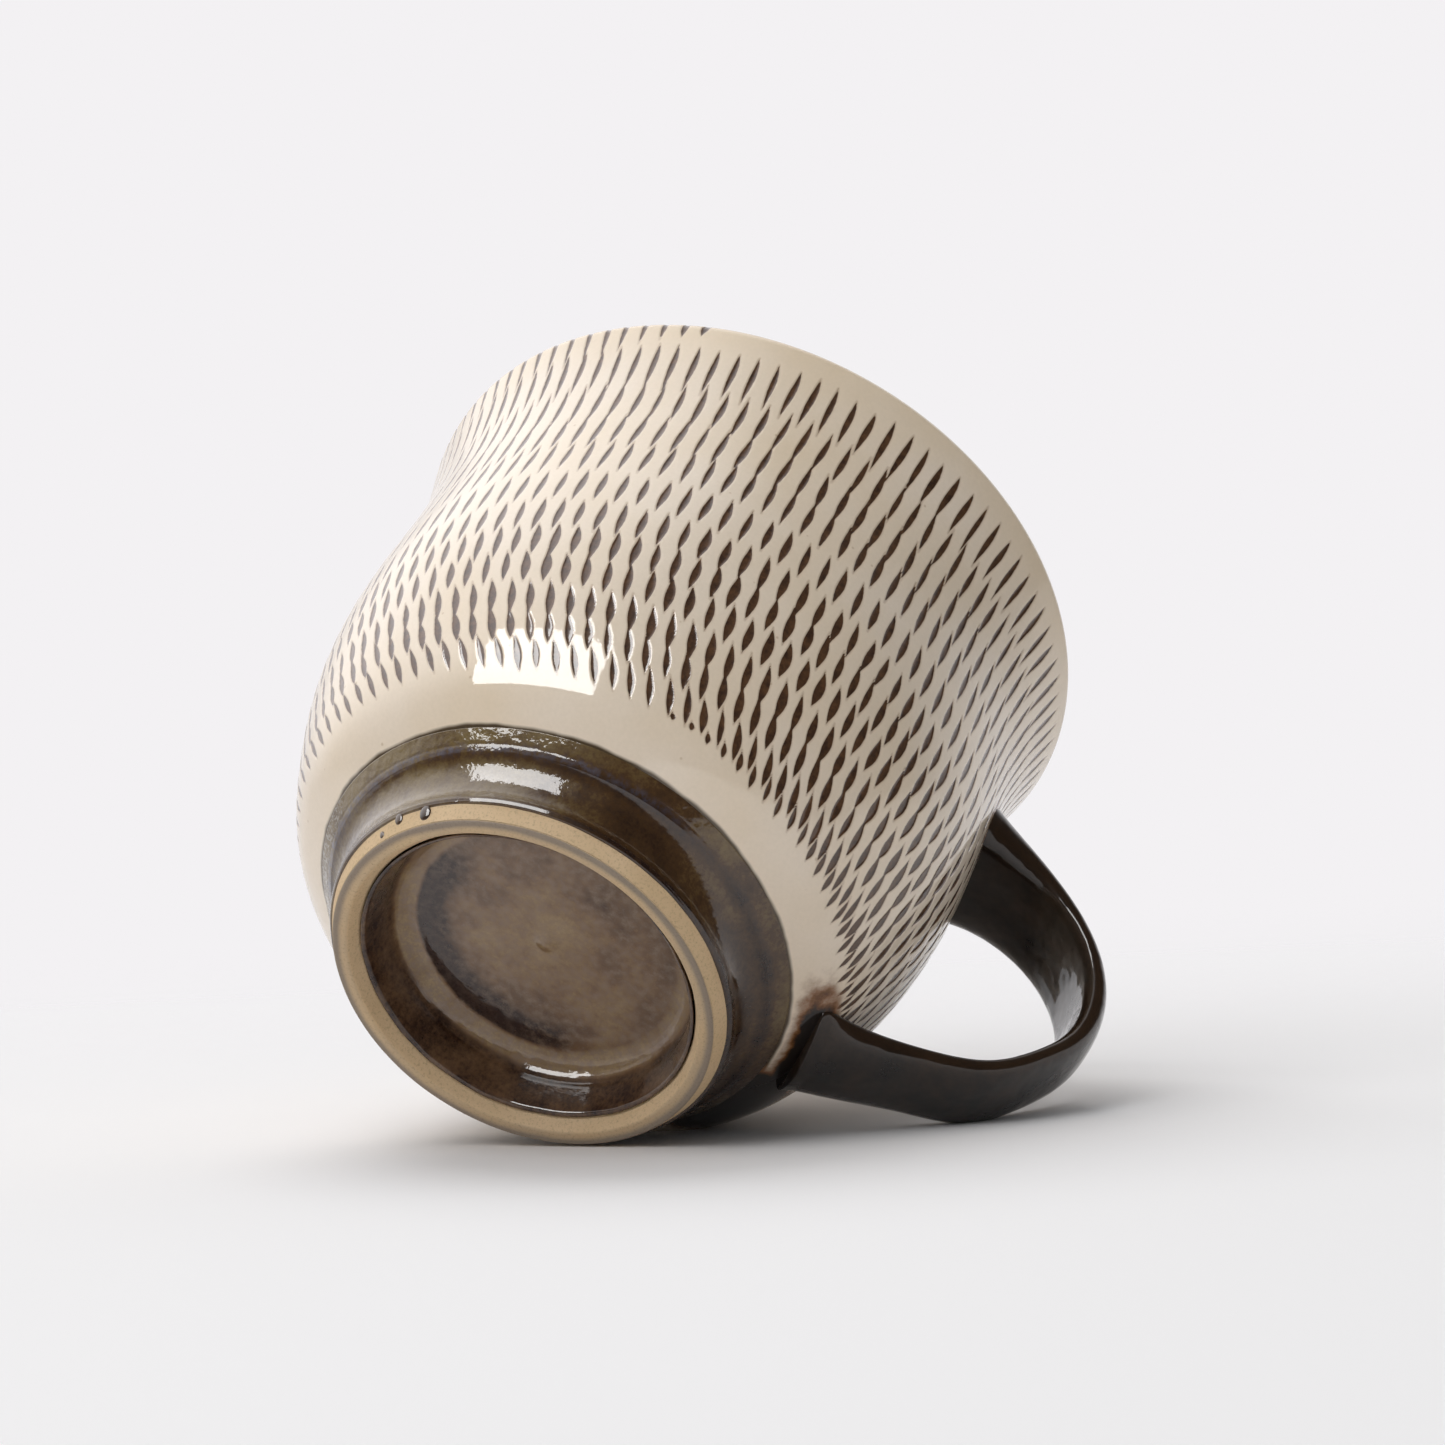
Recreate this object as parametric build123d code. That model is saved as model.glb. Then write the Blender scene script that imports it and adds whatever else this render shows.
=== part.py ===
from build123d import *
import os
from typing import NamedTuple

# Hand-thrown stoneware mug with a turned foot and a pulled strap handle.
# Millimetres. +Z is the cup's axis, the origin is the middle of the foot's
# resting plane, and the handle stands on +X.
#
# Outlines are drawn as (radius, height) in the XY plane and then stood up into
# the XZ plane, so that a turned part revolves about +Z.


class Station(NamedTuple):
    """Place and section of the handle's strap: bulges are from its middle line."""

    reach: float
    height: float
    width: float
    outer: float
    inner: float


# --- the cup's outside, measured on the face of its coats ---------------------
# The wall is set out from the rim: each step is how far it stands in from there.
mug_height = 82.6
rim_radius = 44.9
waist_step = 2.1
waist_height = 69.0
belly_step = 1.4
belly_height = 46.0
flank_step = 2.5
flank_height = 32.0
shin_step = 4.8
shin_height = 23.6
turn_step = 8.6
turn_height = 15.6
band_top_radius = 31.7
band_top_height = 11.5
belly_radius = rim_radius - belly_step

# --- wall, lip and floor ------------------------------------------------------
wall_thickness = 4.2
lip_thickness = 3.2
lip_round_height = 1.5
floor_thickness = 5.4
floor_flat_radius = 17.0

# --- the turned foot ----------------------------------------------------------
cove_radius = 29.6
seat_height = 9.2
neck_radius = 27.0
neck_height = 5.2
foot_flare_radius = 27.3
glaze_line_height = 2.6
foot_rest_radius = 25.8
foot_rest_width = 2.0
foot_edge_round = 0.4
recess_mouth_radius = 22.4
recess_mouth_height = 1.6
recess_floor_radius = 21.3
recess_corner_radius = 2.2
nub_radius = 2.4
nub_height = 0.5

# --- coats of slip and glaze --------------------------------------------------
coat_thickness = 0.5

# --- the pulled handle --------------------------------------------------------
# Stations along the strap's middle line, from the upper joint over the shoulder,
# round the bend and back under to the lower joint. Reach is from the belly of
# the cup and height is above the rest. The strap is pulled wide at the top and
# thin at the bend, and it flares again into both joints.
upper_joint = Station(reach=-0.9, height=59.5, width=18.8, outer=4.5, inner=3.9)
upper_arm = Station(reach=8.4, height=57.4, width=15.4, outer=2.8, inner=2.2)
shoulder = Station(reach=15.2, height=53.2, width=14.2, outer=2.3, inner=1.5)
grip = Station(reach=20.6, height=45.5, width=12.7, outer=2.3, inner=1.5)
bend = Station(reach=21.4, height=38.3, width=10.7, outer=2.0, inner=1.4)
heel = Station(reach=18.2, height=30.5, width=10.6, outer=1.9, inner=1.2)
under_arm = Station(reach=13.1, height=24.0, width=11.2, outer=2.1, inner=1.5)
lower_arm = Station(reach=5.2, height=20.2, width=11.3, outer=2.2, inner=1.8)
lower_joint = Station(reach=-1.4, height=17.9, width=12.1, outer=2.8, inner=2.3)
root_depth = 6.0
root_flare = 1.3
corner_share = 0.8
outer_corner_share = 0.72
inner_corner_share = 0.86


def wall_line(inset: float) -> Edge:
    """Outside of the cup from the top of the foot band to the lip, moved in by the inset."""
    stations = [
        (band_top_radius, band_top_height),
        (rim_radius - turn_step, turn_height),
        (rim_radius - shin_step, shin_height),
        (rim_radius - flank_step, flank_height),
        (belly_radius, belly_height),
        (rim_radius - waist_step, waist_height),
        (rim_radius, mug_height - lip_round_height),
    ]
    return Spline([(radius - inset, height) for radius, height in stations]).edge()


def neck_line(inset: float) -> Edge:
    """Concave neck of the foot, from the glaze line up to the cove, moved in by the inset."""
    flare = (foot_flare_radius - inset, glaze_line_height)
    waist = (neck_radius - inset, neck_height)
    cove = (cove_radius - inset, seat_height)
    return Spline(flare, waist, cove, tangents=[(-0.4, 1), (1, 0.6)]).edge()


def band_line(inset: float) -> Edge:
    """Lowest band of the cup, from the cove up to the slip, moved in by the inset."""
    cove = (cove_radius - inset, seat_height)
    return Line(cove, (band_top_radius - inset, band_top_height)).edge()


def lip_line(inset: float) -> Edge:
    """Rounded lip from the outside to the inside, moved in by the inset."""
    base = mug_height - lip_round_height
    outer = (rim_radius - inset, base)
    crown = (rim_radius - lip_thickness / 2, mug_height - inset)
    inner = (rim_radius - lip_thickness + inset, base)
    return ThreePointArc(outer, crown, inner).edge()


def hollow_lines(inset: float) -> list:
    """Inside of the cup, from the lip down the wall to the middle of the floor."""
    outside = wall_line(0)
    floor_face = seat_height + floor_thickness - inset
    points = [(rim_radius - lip_thickness + inset, mug_height - lip_round_height)]
    for share in (0.84, 0.68, 0.52, 0.36, 0.2):
        inwards = (outside % share).rotate(Axis.Z, 90)
        point = outside @ share + inwards * (wall_thickness - inset)
        points.append((point.X, point.Y))
    floor_edge = (floor_flat_radius, floor_face)
    wall = Spline(points + [floor_edge], tangents=[(-0.2, -1), (-1, -0.03)])
    floor = Line(floor_edge, (0, floor_face))
    return [wall.edge(), floor.edge()]


def turned(edges: list) -> Solid:
    """Solid of revolution from a closed (radius, height) outline, with its seam on -X."""
    outline = Plane.XZ * make_face(Wire(edges))
    return revolve(outline, Axis.Z).solid().rotate(Axis.Z, 180)


def make_cup() -> Solid:
    """Thrown clay of the cup, which sits on the foot ring at the seat height."""
    floor_middle = (0, seat_height + floor_thickness - coat_thickness)
    edges = [
        Line((0, seat_height), (cove_radius - coat_thickness, seat_height)).edge(),
        band_line(coat_thickness),
        wall_line(coat_thickness),
        lip_line(coat_thickness),
        *hollow_lines(coat_thickness),
        Line(floor_middle, (0, seat_height)).edge(),
    ]
    return turned(edges)


def make_foot_ring() -> Solid:
    """Turned clay ring: flat rest, flared band, concave neck and straight hollow."""
    rest_inner = (foot_rest_radius - foot_rest_width, 0)
    rest_outer = (foot_rest_radius - foot_edge_round, 0)
    rest_edge = (foot_rest_radius, foot_edge_round)
    glaze_line = (foot_flare_radius - coat_thickness, glaze_line_height)
    seat_outer = (cove_radius - coat_thickness, seat_height)
    seat_inner = (recess_floor_radius, seat_height)
    mouth = (recess_mouth_radius, recess_mouth_height)
    edges = [
        Line(rest_inner, rest_outer).edge(),
        Line(rest_outer, rest_edge).edge(),
        Line(rest_edge, glaze_line).edge(),
        neck_line(coat_thickness),
        Line(seat_outer, seat_inner).edge(),
        Line(seat_inner, mouth).edge(),
        Line(mouth, rest_inner).edge(),
    ]
    return turned(edges)


def make_foot_band_glaze() -> Solid:
    """Brown glaze from the glaze line over the neck and the cove up to the slip."""
    lower_inner = (foot_flare_radius - coat_thickness, glaze_line_height)
    lower_outer = (foot_flare_radius, glaze_line_height)
    upper_inner = (band_top_radius - coat_thickness, band_top_height)
    upper_outer = (band_top_radius, band_top_height)
    edges = [
        Line(lower_inner, lower_outer).edge(),
        neck_line(0),
        band_line(0),
        Line(upper_outer, upper_inner).edge(),
        band_line(coat_thickness),
        neck_line(coat_thickness),
    ]
    return turned(edges)


def make_recess_glaze() -> Solid:
    """Glaze in the hollow of the foot, thick in the corner, with a turning nub in the middle."""
    face = seat_height - coat_thickness
    seat_inner = (recess_floor_radius, seat_height)
    mouth = (recess_mouth_radius, recess_mouth_height)
    wall_foot = (recess_mouth_radius - coat_thickness, recess_mouth_height)
    wall_top = (recess_floor_radius - coat_thickness, face - recess_corner_radius)
    disc_edge = (recess_floor_radius - coat_thickness - recess_corner_radius, face)
    nub_edge = (nub_radius, face)
    nub_tip = (0, face - nub_height)
    edges = [
        Line((0, seat_height), seat_inner).edge(),
        Line(seat_inner, mouth).edge(),
        Line(mouth, wall_foot).edge(),
        Line(wall_foot, wall_top).edge(),
        TangentArc(wall_top, disc_edge, tangent=(0, 1)).edge(),
        Line(disc_edge, nub_edge).edge(),
        Spline(nub_edge, nub_tip, tangents=[(-1, 0), (-1, 0)]).edge(),
        Line(nub_tip, (0, seat_height)).edge(),
    ]
    return turned(edges)


def make_liner_glaze() -> Solid:
    """Glaze inside the cup and over the lip, down to the slip on the outside."""
    base = mug_height - lip_round_height
    floor_face = seat_height + floor_thickness
    edges = [
        Line((rim_radius - coat_thickness, base), (rim_radius, base)).edge(),
        lip_line(0),
        *hollow_lines(0),
        Line((0, floor_face), (0, floor_face - coat_thickness)).edge(),
        *hollow_lines(coat_thickness),
        lip_line(coat_thickness),
    ]
    return turned(edges)


def make_slip_coat(strap: Solid) -> Solid:
    """Cream slip over the outside wall, parted where the handle's strap runs through it."""
    base = mug_height - lip_round_height
    lower_inner = (band_top_radius - coat_thickness, band_top_height)
    lower_outer = (band_top_radius, band_top_height)
    edges = [
        Line(lower_inner, lower_outer).edge(),
        wall_line(0),
        Line((rim_radius, base), (rim_radius - coat_thickness, base)).edge(),
        wall_line(coat_thickness),
    ]
    return (turned(edges) - strap).solid()


def clay_radius(height: float) -> float:
    """Radius of the clay's outside face at a height."""
    level = Line((0, height), (2 * rim_radius, height)).edge()
    return wall_line(coat_thickness).intersect(level)[0].center().X


def root_of(joint: Station) -> Station:
    """End of the strap inside the clay, behind a joint, flared by the root's share."""
    inside = clay_radius(joint.height) - root_depth - belly_radius
    return Station(
        reach=inside,
        height=joint.height,
        width=joint.width * root_flare,
        outer=joint.outer * root_flare,
        inner=joint.inner * root_flare,
    )


def strap_section(path: Edge, station: Station) -> Sketch:
    """Rounded strap across the path: fuller on its outer face than on its inner one."""
    side = station.width / 2
    corner = side * corner_share
    outer_corner = station.outer * outer_corner_share
    inner_corner = station.inner * inner_corner_share
    points = [
        (side, 0),
        (corner, outer_corner),
        (0, station.outer),
        (-corner, outer_corner),
        (-side, 0),
        (-corner, -inner_corner),
        (0, -station.inner),
        (corner, -inner_corner),
    ]
    middle = Vector(belly_radius + station.reach, 0, station.height)
    along = path % path.param_at_point(middle)
    across = Plane(origin=middle, x_dir=(0, 1, 0), z_dir=along)
    return across * make_face(Spline(points, periodic=True))


def make_strap() -> Solid:
    """Pulled strap lofted along its path, with both ends still running into the clay."""
    stations = [
        root_of(upper_joint),
        upper_joint,
        upper_arm,
        shoulder,
        grip,
        bend,
        heel,
        under_arm,
        lower_arm,
        lower_joint,
        root_of(lower_joint),
    ]
    points = [(belly_radius + station.reach, station.height) for station in stations]
    path = (Plane.XZ * Spline(points)).edge()
    return loft([strap_section(path, station) for station in stations]).solid()


def make_cup_core() -> Solid:
    """Everything inside the clay's outside face, to seat the handle against."""
    base = mug_height - lip_round_height
    edges = [
        Line((0, seat_height), (cove_radius - coat_thickness, seat_height)).edge(),
        band_line(coat_thickness),
        wall_line(coat_thickness),
        Line((rim_radius - coat_thickness, base), (0, base)).edge(),
        Line((0, base), (0, seat_height)).edge(),
    ]
    return turned(edges)


def make_handle(strap: Solid) -> Solid:
    """The strap cut back to the clay that it is joined to."""
    return (strap - make_cup_core()).solid()


def main() -> None:
    """Build every piece and write one STEP file for each."""
    os.makedirs("parts", exist_ok=True)
    strap = make_strap()
    pieces = {
        "thrown_cup": make_cup(),
        "foot_ring": make_foot_ring(),
        "pulled_handle": make_handle(strap),
        "slip_coat": make_slip_coat(strap),
        "foot_band_glaze": make_foot_band_glaze(),
        "recess_glaze": make_recess_glaze(),
        "liner_glaze": make_liner_glaze(),
    }
    for name, piece in pieces.items():
        piece.label = name
        export_step(piece, f"parts/{name}.step")


main()
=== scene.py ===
"""Looks of a hand-thrown stoneware mug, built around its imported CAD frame.

The mug is a cream slipped cup with rows of chatter marks, a turned foot with a brown
glaze band, and a pulled strap handle under a black glaze. Lengths are in millimetres
until a mesh is written, and the row frame has +Z up the cup's axis and +X through
the handle.
"""

from __future__ import annotations

import logging
import math
from dataclasses import dataclass, field
from enum import Enum
from typing import Optional, Union

import bpy
import numpy as np
from mathutils import Matrix, Vector


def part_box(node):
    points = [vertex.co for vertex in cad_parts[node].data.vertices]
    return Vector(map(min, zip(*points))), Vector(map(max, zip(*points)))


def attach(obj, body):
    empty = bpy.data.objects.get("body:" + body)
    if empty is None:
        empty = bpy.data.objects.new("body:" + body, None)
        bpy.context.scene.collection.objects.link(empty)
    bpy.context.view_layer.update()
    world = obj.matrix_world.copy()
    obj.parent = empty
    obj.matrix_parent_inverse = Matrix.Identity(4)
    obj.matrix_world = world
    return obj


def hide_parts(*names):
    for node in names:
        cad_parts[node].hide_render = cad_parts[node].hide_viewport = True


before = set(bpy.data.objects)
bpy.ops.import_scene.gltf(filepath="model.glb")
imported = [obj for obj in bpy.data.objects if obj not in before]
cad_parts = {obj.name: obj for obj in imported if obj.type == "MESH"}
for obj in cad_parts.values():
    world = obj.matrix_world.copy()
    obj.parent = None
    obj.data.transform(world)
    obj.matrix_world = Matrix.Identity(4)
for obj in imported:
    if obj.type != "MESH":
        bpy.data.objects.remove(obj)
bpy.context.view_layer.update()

LOG = logging.getLogger("stoneware_mug")
MM = 0.001


def linear(hex_colour: str) -> tuple[float, float, float, float]:
    """Turns an sRGB hex colour into the linear colour that a shader socket takes.

    Args:
        hex_colour: the colour as "#RRGGBB".

    Returns:
        Red, green, blue and alpha, each from 0 to 1.
    """
    parts = [int(hex_colour[i : i + 2], 16) / 255 for i in (1, 3, 5)]
    curved = [c / 12.92 if c <= 0.04045 else ((c + 0.055) / 1.055) ** 2.4 for c in parts]
    return curved[0], curved[1], curved[2], 1.0


def per_mm(size: float) -> float:
    """Texture scale at which one feature of a pattern is `size` millimetres across."""
    return 1000.0 / size


def ease(value: np.ndarray, low: float, high: float) -> np.ndarray:
    """Smooth step: 0 below `low`, 1 above `high`, and 3t² - 2t³ between them.

    Args:
        value: where to work it out.
        low: value at which the step starts to rise.
        high: value at which the step is done.

    Returns:
        The step, in the shape of `value`.
    """
    share = np.clip((value - low) / (high - low), 0.0, 1.0)
    return share * share * (3.0 - 2.0 * share)


def hump(value: np.ndarray, middle: float, width: float) -> np.ndarray:
    """A bell that is 1 at `middle` and falls off as exp(-((value - middle) / width)²)."""
    return np.exp(-(((value - middle) / width) ** 2))


def ripple(azimuth: np.ndarray, waves: tuple[int, ...], seed: int) -> np.ndarray:
    """A closed uneven line round the cup: a sum of cosines with seeded phases.

    Args:
        azimuth: angle round the axis, in radians.
        waves: whole numbers of waves per turn, each as strong as 1 / sqrt(its number).
        seed: picks the phases.

    Returns:
        Heights from about -1 to 1.
    """
    phases = np.random.default_rng(seed).uniform(0.0, 2.0 * math.pi, len(waves))
    strengths = np.array([1.0 / math.sqrt(n) for n in waves])
    total = sum(s * np.cos(n * azimuth + p) for n, s, p in zip(waves, strengths, phases))
    return total / strengths.sum()


class SmoothLine:
    """Cubic spline through a few stations, measured by the chords between them.

    Between two stations it is a cubic, and slope and bend agree where two cubics meet.
    An end without a given tangent is left unbent.
    """

    def __init__(
        self,
        stations: list[tuple[float, ...]],
        tangents: Optional[tuple[tuple[float, ...], tuple[float, ...]]] = None,
        last_pull: float = 1.0,
    ) -> None:
        """Solves for the bend at each station.

        Args:
            stations: the points that the line passes through.
            tangents: directions at the two ends, or None.
            last_pull: how strongly the last tangent holds the line.
        """
        self.points = np.asarray(stations, float)
        chords = np.linalg.norm(np.diff(self.points, axis=0), axis=1)
        self.knots = np.concatenate([[0.0], np.cumsum(chords)])
        count = len(self.points)
        slopes = np.diff(self.points, axis=0) / chords[:, None]
        system = np.eye(count)
        right = np.zeros_like(self.points)
        for i in range(1, count - 1):
            system[i, i - 1 : i + 2] = (
                chords[i - 1],
                2.0 * (chords[i - 1] + chords[i]),
                chords[i],
            )
            right[i] = 6.0 * (slopes[i] - slopes[i - 1])
        if tangents is not None:
            first, last = (np.asarray(t, float) / np.linalg.norm(t) for t in tangents)
            system[0, :2] = 2.0 * chords[0], chords[0]
            right[0] = 6.0 * (slopes[0] - first)
            system[-1, -2:] = chords[-1], 2.0 * chords[-1]
            right[-1] = 6.0 * (last_pull * last - slopes[-1])
        self.bends = np.linalg.solve(system, right)

    def at(self, where: np.ndarray) -> np.ndarray:
        """Points on the line.

        Args:
            where: distances along the chords.

        Returns:
            One point per distance.
        """
        cell = np.clip(np.searchsorted(self.knots, where, "right") - 1, 0, len(self.knots) - 2)
        span = self.knots[cell + 1] - self.knots[cell]
        after = ((where - self.knots[cell]) / span)[:, None]
        before = 1.0 - after
        bent = (before**3 - before) * self.bends[cell] + (after**3 - after) * self.bends[cell + 1]
        straight = before * self.points[cell] + after * self.points[cell + 1]
        return straight + bent * (span**2 / 6.0)[:, None]

    def even(self, count: int) -> np.ndarray:
        """`count` points from the first station to the last."""
        return self.at(np.linspace(0.0, self.knots[-1], count))


class Outline:
    """A line in the (radius, height) plane that can be read at any length along it."""

    def __init__(self, points: np.ndarray) -> None:
        """Measures the line.

        Args:
            points: (radius, height) pairs, close together.
        """
        self.points = points
        steps = np.linalg.norm(np.diff(points, axis=0), axis=1)
        self.lengths = np.concatenate([[0.0], np.cumsum(steps)])
        self.length = float(self.lengths[-1])

    def at(self, length: np.ndarray) -> np.ndarray:
        """(radius, height) at each length along the line."""
        radius = np.interp(length, self.lengths, self.points[:, 0])
        height = np.interp(length, self.lengths, self.points[:, 1])
        return np.stack([radius, height], axis=-1)

    def outwards(self, length: np.ndarray, reach: float = 0.4) -> np.ndarray:
        """Unit normals on the right-hand side of the line, from points `reach` apart."""
        ahead = self.at(np.minimum(length + reach, self.length))
        behind = self.at(np.maximum(length - reach, 0.0))
        along = ahead - behind
        along /= np.linalg.norm(along, axis=-1, keepdims=True)
        return np.stack([along[..., 1], -along[..., 0]], axis=-1)


def arc_points(centre: tuple[float, float], radius: float, start: float, end: float) -> np.ndarray:
    """Nine points on a circle in the (radius, height) plane, angles in degrees."""
    angles = np.radians(np.linspace(start, end, 9))
    return np.stack([centre[0] + radius * np.cos(angles), centre[1] + radius * np.sin(angles)], -1)


def softened(corners: list[tuple[float, float]], rounding: list[float], closed: bool) -> np.ndarray:
    """An outline whose corners are rounded by quadratic curves.

    Each corner becomes the curve that leaves one side `rounding` before the corner and
    joins the next side `rounding` after it, with the corner as its control point.

    Args:
        corners: (radius, height) pairs, counter-clockwise round the solid.
        rounding: length taken off both sides at each corner.
        closed: whether the last corner joins the first.

    Returns:
        The points of the outline.
    """
    points = np.asarray(corners, float)
    count = len(points)
    made = []
    shares = np.linspace(0.0, 1.0, 6)[:, None]
    for i in range(count):
        cut = rounding[i]
        if cut == 0.0 or (not closed and i in (0, count - 1)):
            made.append(points[i][None])
            continue
        back = points[i - 1] - points[i]
        ahead = points[(i + 1) % count] - points[i]
        start = points[i] + back / np.linalg.norm(back) * cut
        end = points[i] + ahead / np.linalg.norm(ahead) * cut
        curve = (1 - shares) ** 2 * start + 2 * shares * (1 - shares) * points[i] + shares**2 * end
        made.append(curve)
    return np.concatenate(made)


def refined(points: np.ndarray, step: float) -> np.ndarray:
    """The same line with extra points, so that no side is longer than `step`."""
    made = [points[:1]]
    for start, end in zip(points[:-1], points[1:]):
        parts = max(1, math.ceil(float(np.linalg.norm(end - start)) / step))
        shares = np.linspace(0.0, 1.0, parts + 1)[1:, None]
        made.append(start + shares * (end - start))
    return np.concatenate(made)


@dataclass
class Skin:
    """A surface on a grid: rows follow an outline and columns go round.

    Attributes:
        points: (rows, columns, 3) positions in millimetres.
        wraps_rows: whether the last row joins the first.
        layers: numbers per grid point that the materials read, by name.
        normals: (rows, columns, 3) shading normals, or None to leave them to the faces.
    """

    points: np.ndarray
    wraps_rows: bool = False
    layers: dict[str, np.ndarray] = field(default_factory=dict)
    normals: Optional[np.ndarray] = None

    def faces(self) -> tuple[np.ndarray, np.ndarray]:
        """Corner numbers of the quads and of the triangles at the poles.

        Returns:
            Quads as (n, 4) and triangles as (m, 3). A pole is a row whose points agree.
        """
        rows, columns = self.points.shape[:2]
        numbers = np.arange(rows * columns).reshape(rows, columns)
        beside = np.roll(numbers, -1, axis=1)
        low = numbers if self.wraps_rows else numbers[:-1]
        low_beside = beside if self.wraps_rows else beside[:-1]
        high = np.roll(numbers, -1, axis=0) if self.wraps_rows else numbers[1:]
        high_beside = np.roll(beside, -1, axis=0) if self.wraps_rows else beside[1:]
        quads = np.stack([low, low_beside, high_beside, high], axis=-1)
        fans = []
        if self.is_pole(0):
            first = quads[0]
            fans.append(np.stack([np.full(columns, numbers[0, 0]), first[:, 2], first[:, 3]], -1))
            quads = quads[1:]
        if self.is_pole(-1):
            last = quads[-1]
            fans.append(np.stack([last[:, 0], last[:, 1], np.full(columns, numbers[-1, 0])], -1))
            quads = quads[:-1]
        triangles = np.concatenate(fans) if fans else np.zeros((0, 3), int)
        return quads.reshape(-1, 4), triangles

    def is_pole(self, row: int) -> bool:
        """Whether all points of a row are the same point on the axis."""
        return bool(np.ptp(self.points[row], axis=0).max() < 1e-9)

    def to_object(self, name: str, material: bpy.types.Material) -> bpy.types.Object:
        """Writes the mesh, with its layers and one finish.

        Args:
            name: the piece's name.
            material: its finish.

        Returns:
            The new object, at the origin.
        """
        quads, triangles = self.faces()
        flat = self.points.reshape(-1, 3)
        used = np.unique(np.concatenate([quads.ravel(), triangles.ravel()]))
        renumber = np.zeros(len(flat), np.int32)
        renumber[used] = np.arange(len(used))
        corners = np.concatenate([renumber[quads].ravel(), renumber[triangles].ravel()])
        starts = np.concatenate(
            [np.arange(len(quads)) * 4, len(quads) * 4 + np.arange(len(triangles)) * 3]
        )
        mesh = bpy.data.meshes.new(name)
        mesh.vertices.add(len(used))
        mesh.vertices.foreach_set("co", (flat[used] * MM).astype(np.float32).ravel())
        mesh.loops.add(len(corners))
        mesh.loops.foreach_set("vertex_index", corners.astype(np.int32))
        mesh.polygons.add(len(starts))
        mesh.polygons.foreach_set("loop_start", starts.astype(np.int32))
        mesh.update(calc_edges=True)
        for layer, values in self.layers.items():
            attribute = mesh.attributes.new(layer, "FLOAT", "POINT")
            attribute.data.foreach_set("value", values.reshape(-1)[used].astype(np.float32))
        mesh.shade_smooth()
        if self.normals is not None:
            mesh.normals_split_custom_set_from_vertices(self.normals.reshape(-1, 3)[used])
        mesh.materials.append(material)
        piece = bpy.data.objects.new(name, mesh)
        bpy.context.scene.collection.objects.link(piece)
        return piece


def azimuths(columns: int) -> np.ndarray:
    """Even angles round the axis, in radians, starting opposite the handle."""
    return np.linspace(-math.pi, math.pi, columns, endpoint=False)


def turned(outline: np.ndarray, angles: np.ndarray) -> np.ndarray:
    """Carries (radius, height) points round the axis.

    Args:
        outline: (rows, 2) points, or (rows, columns, 2) where the outline changes.
        angles: azimuth of each column, in radians.

    Returns:
        (rows, columns, 3) points: x = r cos a, y = r sin a, z = height.
    """
    spread = outline if outline.ndim == 3 else np.repeat(outline[:, None], len(angles), axis=1)
    radius, height = spread[..., 0], spread[..., 1]
    return np.stack([radius * np.cos(angles), radius * np.sin(angles), height], axis=-1)


def grid_normals(points: np.ndarray) -> np.ndarray:
    """Unit normals of a turned grid, from the differences to its neighbours."""
    around = np.roll(points, -1, axis=1) - np.roll(points, 1, axis=1)
    along = np.gradient(points, axis=0)
    normals = np.cross(around, along)
    return normals / np.maximum(np.linalg.norm(normals, axis=-1, keepdims=True), 1e-12)


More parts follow.
